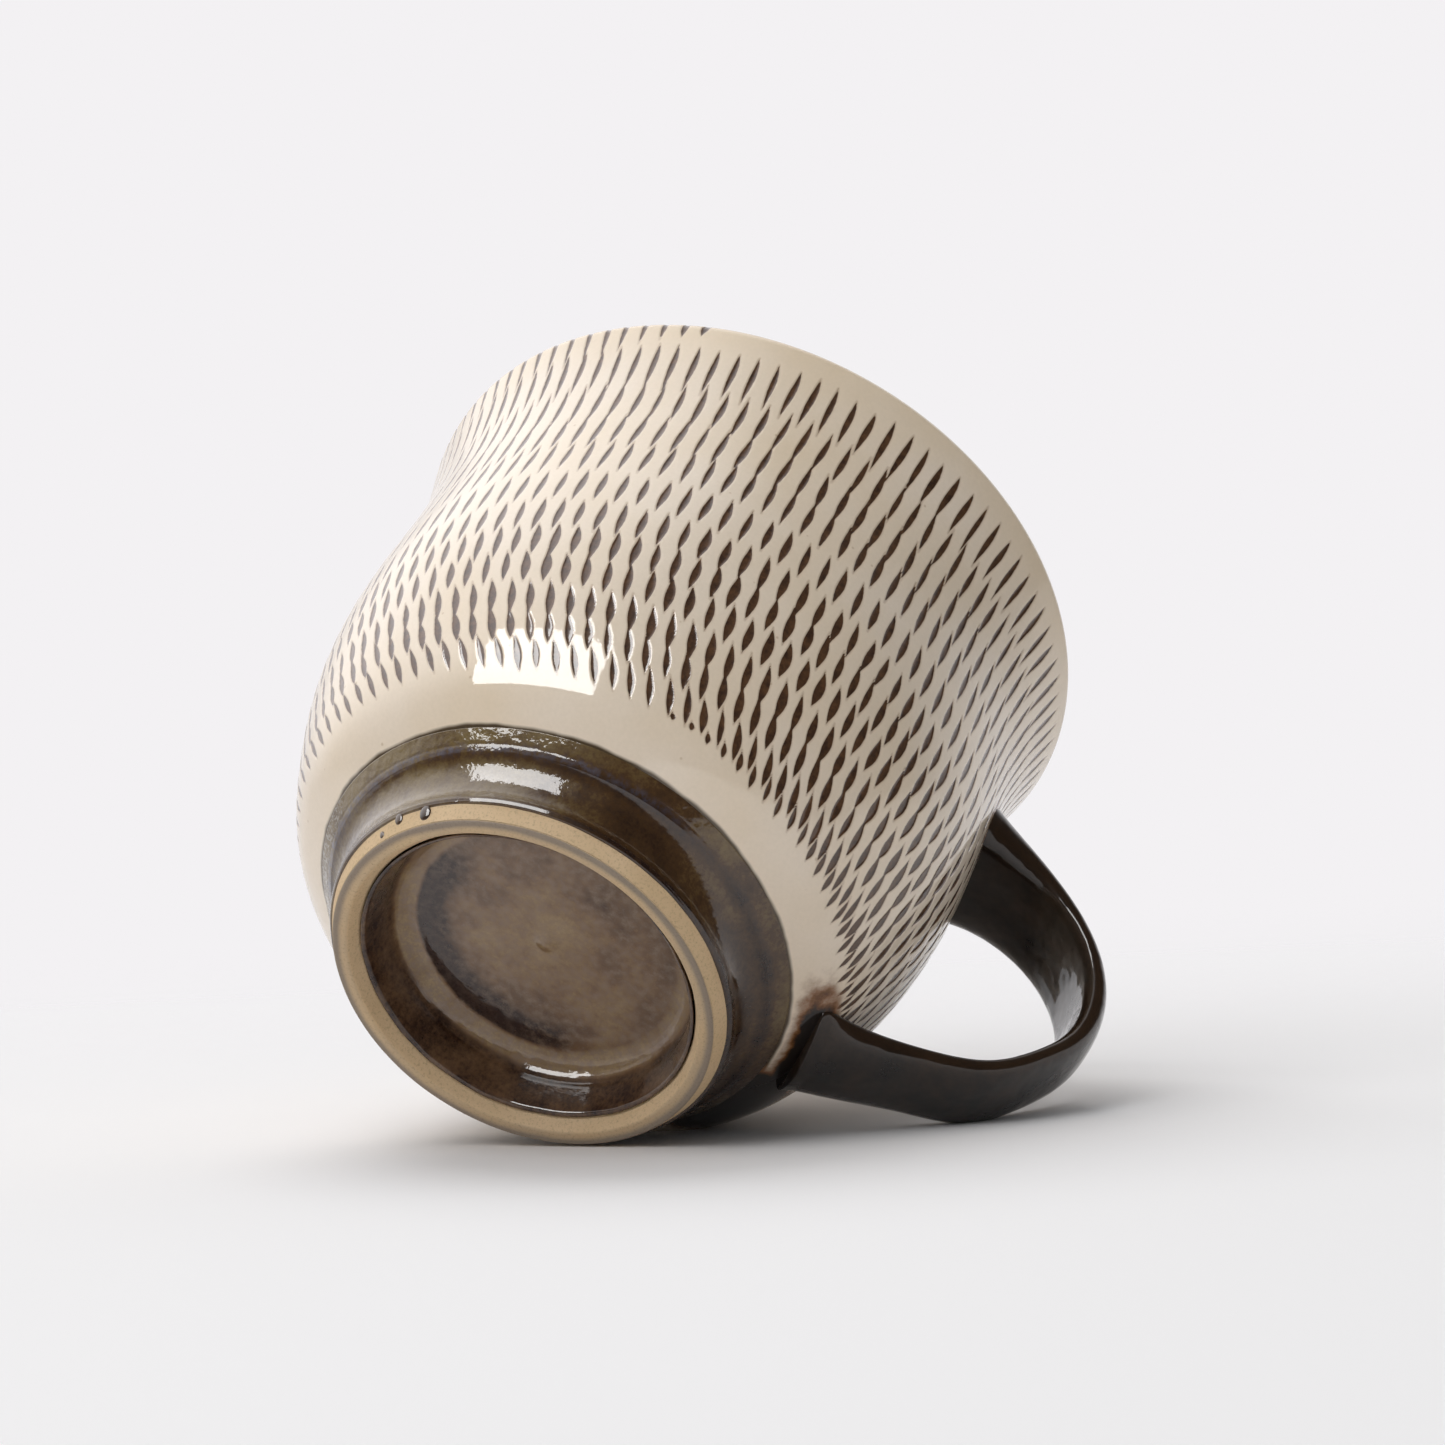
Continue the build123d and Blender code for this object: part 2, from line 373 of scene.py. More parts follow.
@dataclass(frozen=True)
class CupSizes:
    """Sizes that the skins share with the clay under them, in millimetres.

    A pair holds a radius and a height, unless it says otherwise.

    Attributes:
        height: height of the lip's crown.
        rim: radius of the outside of the lip.
        waist, belly, flank, shin, turn: how far the wall stands in from the rim, and where.
        band_top: where the slip ends and the foot band begins.
        wall: thickness of the wall with its coats.
        lip: thickness of the lip.
        lip_round: height of the lip's round crown.
        floor: thickness of the floor above the cove.
        floor_flat: radius of the flat part of the floor inside.
        cove, neck, flare: the line of the foot band, from the top down.
        rest: radius of the outside of the resting edge.
        rest_width: width of that edge.
        recess_mouth: where the wall of the recess starts.
        recess_floor: radius of the recess under its floor.
        nub: radius and depth of the turning nub.
        coat: thickness of the glaze on the foot.
    """

    height: float
    rim: float
    waist: tuple[float, float] = (2.1, 69.0)
    belly: tuple[float, float] = (1.4, 46.0)
    flank: tuple[float, float] = (2.5, 32.0)
    shin: tuple[float, float] = (4.8, 23.6)
    turn: tuple[float, float] = (8.6, 15.6)
    band_top: tuple[float, float] = (31.7, 11.5)
    wall: float = 4.2
    lip: float = 3.2
    lip_round: float = 1.5
    floor: float = 5.4
    floor_flat: float = 17.0
    cove: tuple[float, float] = (29.6, 9.2)
    neck: tuple[float, float] = (27.0, 5.2)
    flare: tuple[float, float] = (27.3, 2.6)
    rest: float = 25.8
    rest_width: float = 2.0
    recess_mouth: tuple[float, float] = (22.4, 1.6)
    recess_floor: float = 21.3
    nub: tuple[float, float] = (2.4, 0.5)
    coat: float = 0.5

    @classmethod
    def from_frame(cls) -> "CupSizes":
        """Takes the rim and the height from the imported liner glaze."""
        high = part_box("liner_glaze")[1]
        return cls(height=high.z / MM, rim=high.y / MM)

    def wall_line(self) -> np.ndarray:
        """Outside of the wall from the top of the foot band to the lip, as dense points."""
        steps = (self.turn, self.shin, self.flank, self.belly, self.waist)
        stations = [self.band_top]
        stations += [(self.rim - inset, height) for inset, height in steps]
        stations.append((self.rim, self.height - self.lip_round))
        return SmoothLine(stations).even(900)

    def lip_line(self) -> np.ndarray:
        """Rounded lip from the outside over the crown to the inside: one circular arc."""
        half = self.lip / 2.0
        radius = (half**2 + self.lip_round**2) / (2.0 * self.lip_round)
        centre = (self.rim - half, self.height - radius)
        start = math.degrees(math.atan2(self.height - self.lip_round - centre[1], half))
        angles = np.radians(np.linspace(start, 180.0 - start, 61))
        return np.stack(
            [centre[0] + radius * np.cos(angles), centre[1] + radius * np.sin(angles)], -1
        )

    def outside(self) -> Outline:
        """Wall and the outer half of the lip, up to the crown."""
        lip = self.lip_line()
        return Outline(np.concatenate([self.wall_line(), lip[1 : len(lip) // 2 + 1]]))


@dataclass(frozen=True)
class ChatterRow:
    """One turn of the chatter tool round the wall.

    Attributes:
        level: height of the marks' fullest part along the wall, from the foot band.
        per_turn: how many marks the row would hold in a whole turn.
        shift: azimuth of one of its marks, in degrees from the middle of the front.
    """

    level: float
    per_turn: float
    shift: float


@dataclass(frozen=True)
class ChatterMarks:
    """Leaf-shaped cuts left by a springy tool that jumps on the turning wall.

    The rows are one line that winds down the wall from the rim. Round most of a turn it
    keeps its level, and behind the cup it drops to the next row. The marks are shorter
    at both ends of the line. Sizes are in millimetres and angles in degrees.

    Attributes:
        rows: the turns of the line, from the rim down.
        front: azimuth of the middle of the front.
        first: azimuth of the first mark, in the top row.
        last: azimuth of the last mark, in the bottom row.
        level_part: where a row keeps its level, from the middle of the front.
        early_drop: share of the next drop by which a row starts above its level.
        late_drop: share of the next drop by which it ends below its level.
        heavy: azimuth where the tool pressed hardest.
        pressing: share by which a mark is wider there.
        depth: how deep a wide mark is.
        slope: distance from a mark's edge over which it gets deep.
        lengths: (level, length) pairs.
        widths: (level, width) pairs.
        leans: (level, lean) pairs, from upright.
        fullest: (level, share of the length where a mark is widest) pairs.
        jitters: spread of length and width as shares, then of lean, azimuth and level.
        end_marks: how many marks it takes at each end to reach the full length.
        end_length: share of the full length that the outermost marks have.
        dots: how many marks at the start of the line are widened to dots.
        dot_width: widening of those dots.
        right_share: share of the width on the right of the leaning line.
        left_share: share of the width on its left.
        left_lower: how much further down the left side is widest.
        edge_power: power of the sine arch of both sides.
        reach_columns: grid columns looked at on each side of a mark.
    """

    rows: tuple[ChatterRow, ...] = (
        ChatterRow(73.5, 100.0, 0.2),
        ChatterRow(66.8, 100.4, 0.8),
        ChatterRow(59.6, 94.0, 0.3),
        ChatterRow(53.1, 94.2, 0.0),
        ChatterRow(47.1, 96.9, 0.0),
        ChatterRow(39.8, 96.3, -0.7),
        ChatterRow(33.4, 96.8, -1.6),
        ChatterRow(28.2, 99.4, -0.9),
        ChatterRow(23.4, 94.9, -2.3),
        ChatterRow(18.5, 94.9, -2.9),
        ChatterRow(14.2, 94.7, -1.2),
        ChatterRow(10.0, 93.9, -1.5),
        ChatterRow(7.9, 93.9, 1.3),
    )
    front: float = -84.0
    first: float = -117.4
    last: float = -92.0
    level_part: tuple[float, float] = (-68.0, 86.0)
    early_drop: float = 0.13
    late_drop: float = 0.02
    heavy: float = -25.0
    pressing: float = 0.1
    depth: float = 0.11
    slope: float = 0.1
    lengths: tuple[tuple[float, float], ...] = (
        (8, 3.4),
        (10, 5.2),
        (28, 6.0),
        (50, 7.9),
        (75, 8.8),
    )
    widths: tuple[tuple[float, float], ...] = (
        (8, 0.8),
        (11, 1.12),
        (24, 1.2),
        (36, 1.0),
        (48, 0.85),
        (66, 0.8),
    )
    leans: tuple[tuple[float, float], ...] = (
        (9, 25.0),
        (14, 20.0),
        (23, 12.0),
        (33, 6.0),
        (48, 2.0),
    )
    fullest: tuple[tuple[float, float], ...] = ((10, 0.5), (30, 0.45), (62, 0.46), (67, 0.38))
    jitters: tuple[float, float, float, float, float] = (0.05, 0.07, 1.2, 0.08, 0.10)
    end_marks: float = 6.0
    end_length: float = 0.3
    dots: int = 2
    dot_width: float = 1.35
    right_share: float = 0.66
    left_share: float = 0.34
    left_lower: float = 0.14
    edge_power: float = 1.2
    reach_columns: int = 8

    def centres(self) -> tuple[np.ndarray, np.ndarray]:
        """Azimuth and level of every mark, in the order in which the tool cut them.

        Returns:
            Azimuths in degrees and levels in millimetres along the wall.
        """
        before, after = self.level_part
        turns = []
        for number, row in enumerate(self.rows):
            pitch = 360.0 / row.per_turn
            start = -self.front + 360.0 * number - row.shift
            counts = np.arange(math.ceil(before / pitch), math.floor(after / pitch) + 1)
            turns.append(start + counts * pitch)
        wound = [turns[0]]
        for earlier, later, row in zip(turns, turns[1:], self.rows):
            gap = later[0] - earlier[-1]
            parts = round(gap * row.per_turn / 360.0)
            wound.append(np.linspace(earlier[-1], later[0], parts + 1)[1:-1])
            wound.append(later)
        angle = np.concatenate(wound)
        ends = (-self.first, -self.last + 360.0 * (len(self.rows) - 1))
        angle = angle[(angle >= ends[0]) & (angle <= ends[1])]
        levels = np.array([row.level for row in self.rows])
        drops = -np.diff(levels, append=levels[-1] - 2.0)
        knots = []
        heights = []
        for number, (level, drop) in enumerate(zip(levels, drops)):
            middle = -self.front + 360.0 * number
            knots += [middle + before, middle, middle + after]
            heights += [level + self.early_drop * drop, level, level - self.late_drop * drop]
        return -angle, np.interp(angle, knots, heights)

    def cut_depth(self, radii: np.ndarray, levels: np.ndarray, columns: int) -> np.ndarray:
        """How far inside a mark each grid point lies.

        A mark runs from its upper tip to its lower tip along a leaning line. Its right
        side stands off that line by a skewed sine arch, and its left side by a flatter
        one. The number is the distance to the nearer side. The random draws come in the
        order length, width, lean, azimuth, level.

        Args:
            radii: wall radius of each grid row.
            levels: length along the wall of each grid row, evenly spaced.
            columns: number of grid columns round the cup.

        Returns:
            (rows, columns) millimetres, above 0 inside a mark and below 0 outside.
        """
        azimuth, level = self.centres()
        chance = np.random.default_rng(11)
        count = len(azimuth)
        length, width, lean, full = (
            np.interp(level, *zip(*table))
            for table in (self.lengths, self.widths, self.leans, self.fullest)
        )
        long_by, wide_by, lean_by, aside_by, up_by = self.jitters
        length = length * (1.0 + long_by * chance.standard_normal(count))
        pressure = 1.0 + self.pressing * np.cos(np.radians(azimuth - self.heavy))
        width = width * pressure * (1.0 + wide_by * chance.standard_normal(count))
        lean = lean + lean_by * chance.standard_normal(count)
        azimuth = azimuth + aside_by * chance.standard_normal(count)
        level = level + up_by * chance.standard_normal(count)
        order = np.arange(count)
        from_end = np.minimum(order, count - 1 - order).astype(float)
        grown = ease(from_end, 0.0, self.end_marks)
        length = length * (self.end_length + (1.0 - self.end_length) * grown)
        width = width * np.where(order < self.dots, self.dot_width, 1.0)

        step = float(levels[1] - levels[0])
        reach_rows = math.ceil(0.75 * float(length.max()) / step)
        row_of = np.round((level - levels[0]) / step).astype(int)
        rows = row_of[:, None] + np.arange(-reach_rows, reach_rows + 1)[None]
        on_wall = np.clip(rows, 0, len(levels) - 1)
        radius = radii[on_wall]
        arc = 2.0 * math.pi * radius / columns
        down = ((level + full * length)[:, None] - (levels[0] + rows * step)) / length[:, None]
        slant = np.tan(np.radians(lean))[:, None] * (down - full[:, None]) * length[:, None]
        exact_column = ((azimuth + 180.0) / 360.0 * columns)[:, None] + slant / arc
        inside = np.clip(down, 0.0, 1.0)
        skew = (math.log(0.5) / np.log(full))[:, None]
        right = np.sin(math.pi * inside**skew) ** self.edge_power
        left_skew = (math.log(0.5) / np.log(full + self.left_lower))[:, None]
        left = np.sin(math.pi * inside**left_skew) ** self.edge_power
        offsets = np.arange(-self.reach_columns, self.reach_columns + 1)
        nearest = np.round(exact_column).astype(int)
        column = nearest[..., None] + offsets
        aside = (column - exact_column[..., None]) * arc[..., None]
        wide = width[:, None, None]
        to_right = self.right_share * wide * right[..., None] - aside
        to_left = aside + self.left_share * wide * left[..., None]
        gap = np.minimum(to_right, to_left)
        past_tip = np.maximum(-down, down - 1.0) * length[:, None]
        gap = np.where(past_tip[..., None] > 0.0, -np.hypot(past_tip[..., None], aside), gap)
        cut = np.full((len(levels), columns), -1.0)
        valid = np.broadcast_to(((rows >= 0) & (rows < len(levels)))[..., None], gap.shape)
        row_index = np.broadcast_to(on_wall[..., None], gap.shape)
        np.maximum.at(cut, (row_index[valid], column[valid] % columns), gap[valid])
        return cut

    def relief(self, cut: np.ndarray) -> np.ndarray:
        """Depth of the cuts, which levels out as 1 - exp(-d / slope) towards the middle."""
        inside = np.clip(cut + 0.05, 0.0, None)
        return self.depth * (1.0 - np.exp(-inside / self.slope))


@dataclass(frozen=True)
class Station:
    """Place and section of the handle's strap, in millimetres.

    Attributes:
        reach: how far the middle line stands out from the cup's belly.
        height: height of the middle line.
        width: width of the strap.
        outer: bulge of its outer face from the middle line.
        inner: bulge of its inner face from the middle line.
    """

    reach: float
    height: float
    width: float
    outer: float
    inner: float


@dataclass(frozen=True)
class StrapSizes:
    """The pulled handle from its upper joint round the bend to its lower joint.

    A pair for the upper and lower joint mixes between the shares of the strap in `blend`.

    Attributes:
        stations: the strap's sections.
        upper_root: how far the upper root runs on into the wall.
        lower_root: how far the lower root runs on into the wall.
        lower_drop: how far the lower root sinks on its way.
        upper_flare: widening of the upper root's end.
        lower_flare: widening of the lower root's end.
        outer_roundness: exponent of the section's outer face.
        inner_roundness: exponent of its inner face.
        root_roundness: exponents of the outer and the inner face at the lower joint.
        dish: depth of the shallow hollow along the inner face.
        dish_share: share of the width that the hollow takes.
        fillets: how far the bulges swell at the wall, for the upper and lower joint.
        fillet_reach: distance over which that swelling dies away.
        fillet_depth: distance inside the wall up to which it goes on growing.
        fillet_lifts: how much of the swelling the outer and the inner face take.
        spreads: how far the sides widen at the wall, for the upper and lower joint.
        spread_reach: distance over which that widening dies away.
        blend: shares of the strap between which the upper end's numbers give way.
        rows: sections along the strap.
        columns: points round a section.
    """

    stations: tuple[Station, ...] = (
        Station(-0.9, 59.5, 18.8, 4.5, 3.9),
        Station(8.4, 57.4, 15.4, 2.8, 2.2),
        Station(15.2, 53.2, 14.2, 2.3, 1.5),
        Station(20.6, 45.5, 12.9, 2.3, 1.8),
        Station(21.4, 38.3, 11.5, 2.0, 1.8),
        Station(18.2, 30.5, 11.6, 1.9, 1.6),
        Station(13.1, 24.0, 11.7, 2.1, 1.7),
        Station(5.2, 20.0, 11.3, 2.2, 1.7),
        Station(-1.4, 17.4, 11.7, 2.6, 1.9),
    )
    upper_root: float = 3.4
    lower_root: float = 7.6
    lower_drop: float = 2.6
    upper_flare: float = 1.12
    lower_flare: float = 1.05
    outer_roundness: float = 2.3
    inner_roundness: float = 2.9
    root_roundness: tuple[float, float] = (1.35, 2.0)
    dish: float = 0.3
    dish_share: float = 0.78
    fillets: tuple[float, float] = (0.4, 1.2)
    fillet_reach: float = 3.2
    fillet_depth: float = 3.0
    fillet_lifts: tuple[float, float] = (2.0, 0.2)
    spreads: tuple[float, float] = (0.4, 1.8)
    spread_reach: float = 2.6
    blend: tuple[float, float] = (0.4, 0.6)
    rows: int = 420
    columns: int = 120

    def skin(self, belly: float, wall: np.ndarray) -> Skin:
        """The strap's surface: a two-sided superellipse carried along its middle line.

        A section point at angle a is (side |cos a|^(2/n), bulge |sin a|^(2/n)), with its
        own bulge and exponent n on the outer and the inner face.

        A thumb smooths the clay of a joint out on to the pot. So near the wall the bulges
        swell by fillet · exp(-distance / fillet_reach), and inside the wall they go on
        swelling in a straight line. The sides widen by spread · exp(-distance /
        spread_reach) and keep that width inside the wall. At the lower joint the
        exponents go over to `root_roundness`.

        Args:
            belly: radius that the reaches are measured from.
            wall: (radius, height) points of the wall's outside, from the bottom up.

        Returns:
            The grid, with `rim` near 1 on the strap's edges.
        """
        first, last = self.stations[0], self.stations[-1]
        table = [(s.reach + belly, s.height, s.width, s.outer, s.inner) for s in self.stations]
        start = (table[0][0] - self.upper_root, first.height, first.width * self.upper_flare)
        start += (first.outer * self.upper_flare, first.inner * self.upper_flare)
        end = (table[-1][0] - self.lower_root, last.height - self.lower_drop)
        end += (last.width * self.lower_flare, last.outer, last.inner)
        table = [start] + table + [end]
        path = SmoothLine([row[:2] for row in table])
        where = np.linspace(0.0, path.knots[-1], self.rows)
        middle = path.at(where)
        dense = SmoothLine([(k, *row[2:]) for k, row in zip(path.knots, table)]).even(4 * self.rows)
        width, top, under = (
            np.interp(where, dense[:, 0], dense[:, column])[:, None] for column in (1, 2, 3)
        )
        along = np.gradient(middle, axis=0)
        along /= np.linalg.norm(along, axis=1, keepdims=True)
        outwards = np.stack([-along[:, 1], along[:, 0]], axis=1)
        angle = np.linspace(0.0, 2.0 * math.pi, self.columns, endpoint=False)
        cosine, sine = np.cos(angle), np.sin(angle)
        gap = middle[:, 0] - np.interp(middle[:, 1], wall[:, 1], wall[:, 0])
        share = np.linspace(0.0, 1.0, self.rows)
        near = np.exp(-np.clip(gap, 0.0, None) / self.spread_reach)
        near = near * np.interp(share, self.blend, (0.0, 1.0))
        outer = self.outer_roundness + near * (self.root_roundness[0] - self.outer_roundness)
        inner = self.inner_roundness + near * (self.root_roundness[1] - self.inner_roundness)
        power = np.where(sine >= 0.0, 2.0 / outer[:, None], 2.0 / inner[:, None])
        across = np.sign(cosine) * np.abs(cosine) ** power
        lift = np.sign(sine) * np.abs(sine) ** power
        side = width / 2.0 * across
        bulge = np.where(sine >= 0.0, top, under) * lift
        spot = middle[:, None] + bulge[..., None] * outwards[:, None]
        apart = np.hypot(spot[..., 0], side) - np.interp(spot[..., 1], wall[:, 1], wall[:, 0])
        fillet = np.interp(share, self.blend, self.fillets)[:, None]
        swell = fillet * np.exp(-np.clip(apart, 0.0, None) / self.fillet_reach)
        swell = swell + fillet * np.clip(-apart, 0.0, self.fillet_depth) / self.fillet_reach
        spread = np.interp(share, self.blend, self.spreads)[:, None]
        side = side + spread * np.exp(-np.clip(apart, 0.0, None) / self.spread_reach) * across
        bulge = bulge + np.where(lift > 0.0, *self.fillet_lifts) * swell * lift
        hollow = np.clip(1.0 - (across / self.dish_share) ** 2, 0.0, 1.0)
        bulge = bulge + self.dish * np.clip(-lift, 0.0, None) * hollow
        radius = middle[:, :1] + bulge * outwards[:, :1]
        height = middle[:, 1:] + bulge * outwards[:, 1:]
        points = np.stack([radius, side, height], axis=-1)
        rim = np.abs(across) ** 6 * (1.0 - np.abs(lift) ** 4)
        caps = [
            np.repeat(end.mean(axis=1, keepdims=True), self.columns, axis=1)
            for end in (points[:1], points[-1:])
        ]
        points = np.concatenate([caps[0], points, caps[1]])
        return Skin(points, layers={"rim": np.concatenate([rim[:1], rim, rim[-1:]])})


class Recipe:
    """The nodes of a material or a world, put together one node at a time."""

    def __init__(self, owner: Union[bpy.types.Material, bpy.types.World]) -> None:
        """Clears the owner's nodes."""
        owner.use_nodes = True
        self.owner = owner
        self.tree = owner.node_tree
        self.tree.nodes.clear()

    @classmethod
    def of_material(cls, name: str) -> "Recipe":
        """Starts an empty material called `name`."""
        return cls(bpy.data.materials.new(name))

    def add(
        self,
        kind: str,
        inputs: Optional[dict[Union[str, int], object]] = None,
        **options: object,
    ) -> bpy.types.Node:
        """Adds a node, sets its options, and fills its inputs.

        Args:
            kind: the node's type after "ShaderNode".
            inputs: values or output sockets, by the name or number of the input.
            **options: the node's own settings.

        Returns:
            The new node.
        """
        node = self.tree.nodes.new("ShaderNode" + kind)
        for option, value in options.items():
            setattr(node, option, value)
        for key, value in (inputs or {}).items():
            if isinstance(value, bpy.types.NodeSocket):
                self.tree.links.new(value, node.inputs[key])
            else:
                node.inputs[key].default_value = value
        return node

    def done(self, surface: bpy.types.NodeSocket) -> bpy.types.Material:
        """Links the surface to the output and hands over the material."""
        self.add("OutputMaterial", {"Surface": surface})
        return self.owner


@dataclass(frozen=True)
class SlippedWallFinish:
    """White slip on stoneware under a clear feldspar glaze, cut through by chatter marks.

    The slip is a thin coat of pale clay, so it is warm white and a little cloudy. Where
    the tool cut it away the iron-bearing body shows dark brown, with a sharp edge that
    the melted glaze softens. The glaze over everything is smooth and glossy.
    """

    slip: str = "#EDDECB"
    thin_slip: str = "#E6D3B8"
    grain: str = "#C9BBA2"
    speck: str = "#A98758"
    cut_body: str = "#3A2415"
    cut_body_light: str = "#624227"
    edge_body: str = "#94714E"
    band: str = "#4A3A24"
    spill: str = "#1D1510"
    halo: str = "#7E4E20"

    def build(self) -> bpy.types.Material:
        """Builds the material; it reads `cut` and `spill` in millimetres."""
        r = Recipe.of_material("white_slip_under_clear_glaze")
        place = r.add("TexCoord").outputs["Object"]
        # Clouds 16 mm across where the slip went on thicker or thinner.
        cloud = r.add("TexNoise", {"Vector": place, "Scale": per_mm(16.0), "Detail": 3.0})
        height = r.add("SeparateXYZ", {0: place}).outputs["Z"]
        # The slip is thinner and warmer on the last 7 mm below the lip.
        lip = r.add("MapRange", {"Value": height, 1: 74.0 * MM, 2: 81.0 * MM, 3: 0.0, 4: 0.35})
        thin = r.add(
            "Math", {0: cloud.outputs["Fac"], 1: lip.outputs["Result"]}, operation="ADD"
        )
        cream = r.add(
            "Mix",
            {
                0: r.add(
                    "MapRange", {"Value": thin.outputs[0], 1: 0.35, 2: 0.85}
                ).outputs["Result"],
                6: linear(self.slip),
                7: linear(self.thin_slip),
            },
            data_type="RGBA",
        )
        # Grain of the slip, 0.5 mm, drawn coarser than the real one so that it shows.
        grain = r.add("TexNoise", {"Vector": place, "Scale": per_mm(0.5), "Detail": 2.0})
        grained = r.add(
            "Mix",
            {
                0: r.add(
                    "MapRange", {"Value": grain.outputs["Fac"], 1: 0.3, 2: 0.7, 3: 0.0, 4: 0.12}
                ).outputs["Result"],
                6: cream.outputs[2],
                7: linear(self.grain),
            },
            data_type="RGBA",
        )
        # Iron specks in the body, up to 0.5 mm, about one in two square centimetres.
        speck = r.add("TexVoronoi", {"Vector": place, "Scale": per_mm(4.5)})
        specked = r.add(
            "Mix",
            {
                0: r.add(
                    "MapRange",
                    {"Value": speck.outputs["Distance"], 1: 0.03, 2: 0.06, 3: 0.4, 4: 0.0},
                ).outputs["Result"],
                6: grained.outputs[2],
                7: linear(self.speck),
            },
            data_type="RGBA",
        )
        cut = r.add("Attribute", attribute_name="cut").outputs["Fac"]
        # The cut edge is ragged by about a tenth of a millimetre.
        ragged_noise = r.add("TexNoise", {"Vector": place, "Scale": per_mm(0.7), "Detail": 3.0})
        ragged = r.add(
            "Math", {0: ragged_noise.outputs["Fac"], 1: 0.12, 2: cut}, operation="MULTIPLY_ADD"
        ).outputs[0]
        # The slip is feathered over the last 0.3 mm before a cut, so it looks warmer there.
        feather = r.add(
            "MapRange",
            {"Value": cut, 1: -0.30, 2: 0.02, 3: 0.0, 4: 0.42},
            interpolation_type="SMOOTHSTEP",
        ).outputs["Result"]
        feathered = r.add(
            "Mix",
            {0: feather, 6: specked.outputs[2], 7: linear(self.edge_body)},
            data_type="RGBA",
        )
        body_mix = r.add(
            "TexNoise", {"Vector": place, "Scale": per_mm(1.1), "Detail": 5.0, "Roughness": 0.7}
        )
        body = r.add(
            "Mix",
            {
                0: r.add(
                    "MapRange", {"Value": body_mix.outputs["Fac"], 1: 0.35, 2: 0.7}
                ).outputs["Result"],
                6: linear(self.cut_body),
                7: linear(self.cut_body_light),
            },
            data_type="RGBA",
        )
        opened = r.add(
            "MapRange",
            {"Value": ragged, 1: 0.02, 2: 0.10},
            interpolation_type="SMOOTHSTEP",
        ).outputs["Result"]
        marked = r.add(
            "Mix", {0: opened, 6: feathered.outputs[2], 7: body.outputs[2]}, data_type="RGBA"
        )
        # The brown band glaze laps over the lowest 0.5 mm of the slip with a soft edge.
        lap_noise = r.add("TexNoise", {"Vector": place, "Scale": per_mm(7.0), "Detail": 2.0})
        lap_line = r.add(
            "Math",
            {0: lap_noise.outputs["Fac"], 1: -0.7 * MM, 2: height},
            operation="MULTIPLY_ADD",
        ).outputs[0]
        lap = r.add(
            "MapRange",
            {"Value": lap_line, 1: 11.2 * MM, 2: 11.55 * MM, 3: 1.0, 4: 0.0},
            interpolation_type="SMOOTHSTEP",
        ).outputs["Result"]
        lapped = r.add(
            "Mix", {0: lap, 6: marked.outputs[2], 7: linear(self.band)}, data_type="RGBA"
        )
        # Black handle glaze that ran on to the wall, with the rust halo of its thin edge.
        spill = r.add("Attribute", attribute_name="spill").outputs["Fac"]
        spill_noise = r.add(
            "TexNoise", {"Vector": place, "Scale": per_mm(3.0), "Detail": 4.0, "Roughness": 0.6}
        )
        uneven = r.add(
            "Math",
            {0: spill_noise.outputs["Fac"], 1: 2.4, 2: spill},
            operation="MULTIPLY_ADD",
        ).outputs[0]
        halo = r.add(
            "MapRange", {"Value": uneven, 1: -0.5, 2: 1.1}, interpolation_type="SMOOTHSTEP"
        ).outputs["Result"]
        rusted = r.add(
            "Mix", {0: halo, 6: lapped.outputs[2], 7: linear(self.halo)}, data_type="RGBA"
        )
        flooded = r.add(
            "MapRange", {"Value": uneven, 1: 0.75, 2: 1.5}, interpolation_type="SMOOTHSTEP"
        ).outputs["Result"]
        colour = r.add(
            "Mix", {0: flooded, 6: rusted.outputs[2], 7: linear(self.spill)}, data_type="RGBA"
        )
        # The glaze skin ripples a hundredth of a millimetre deep over about 1.6 mm.
        ripple_noise = r.add("TexNoise", {"Vector": place, "Scale": per_mm(1.6), "Detail": 2.0})
        bump = r.add(
            "Bump",
            {
                "Height": ripple_noise.outputs["Fac"],
                "Strength": 0.35,
                "Distance": 0.03 * MM,
            },
        )
        shader = r.add(
            "BsdfPrincipled",
            {
                "Base Color": colour.outputs[2],
                "Roughness": 0.5,
                "Specular IOR Level": 0.15,
                "Coat Weight": 1.0,
                "Coat Roughness": 0.045,
                "Coat IOR": 1.6,
                "Normal": bump.outputs["Normal"],
                "Coat Normal": bump.outputs["Normal"],
            },
        )
        return r.done(shader.outputs[0])


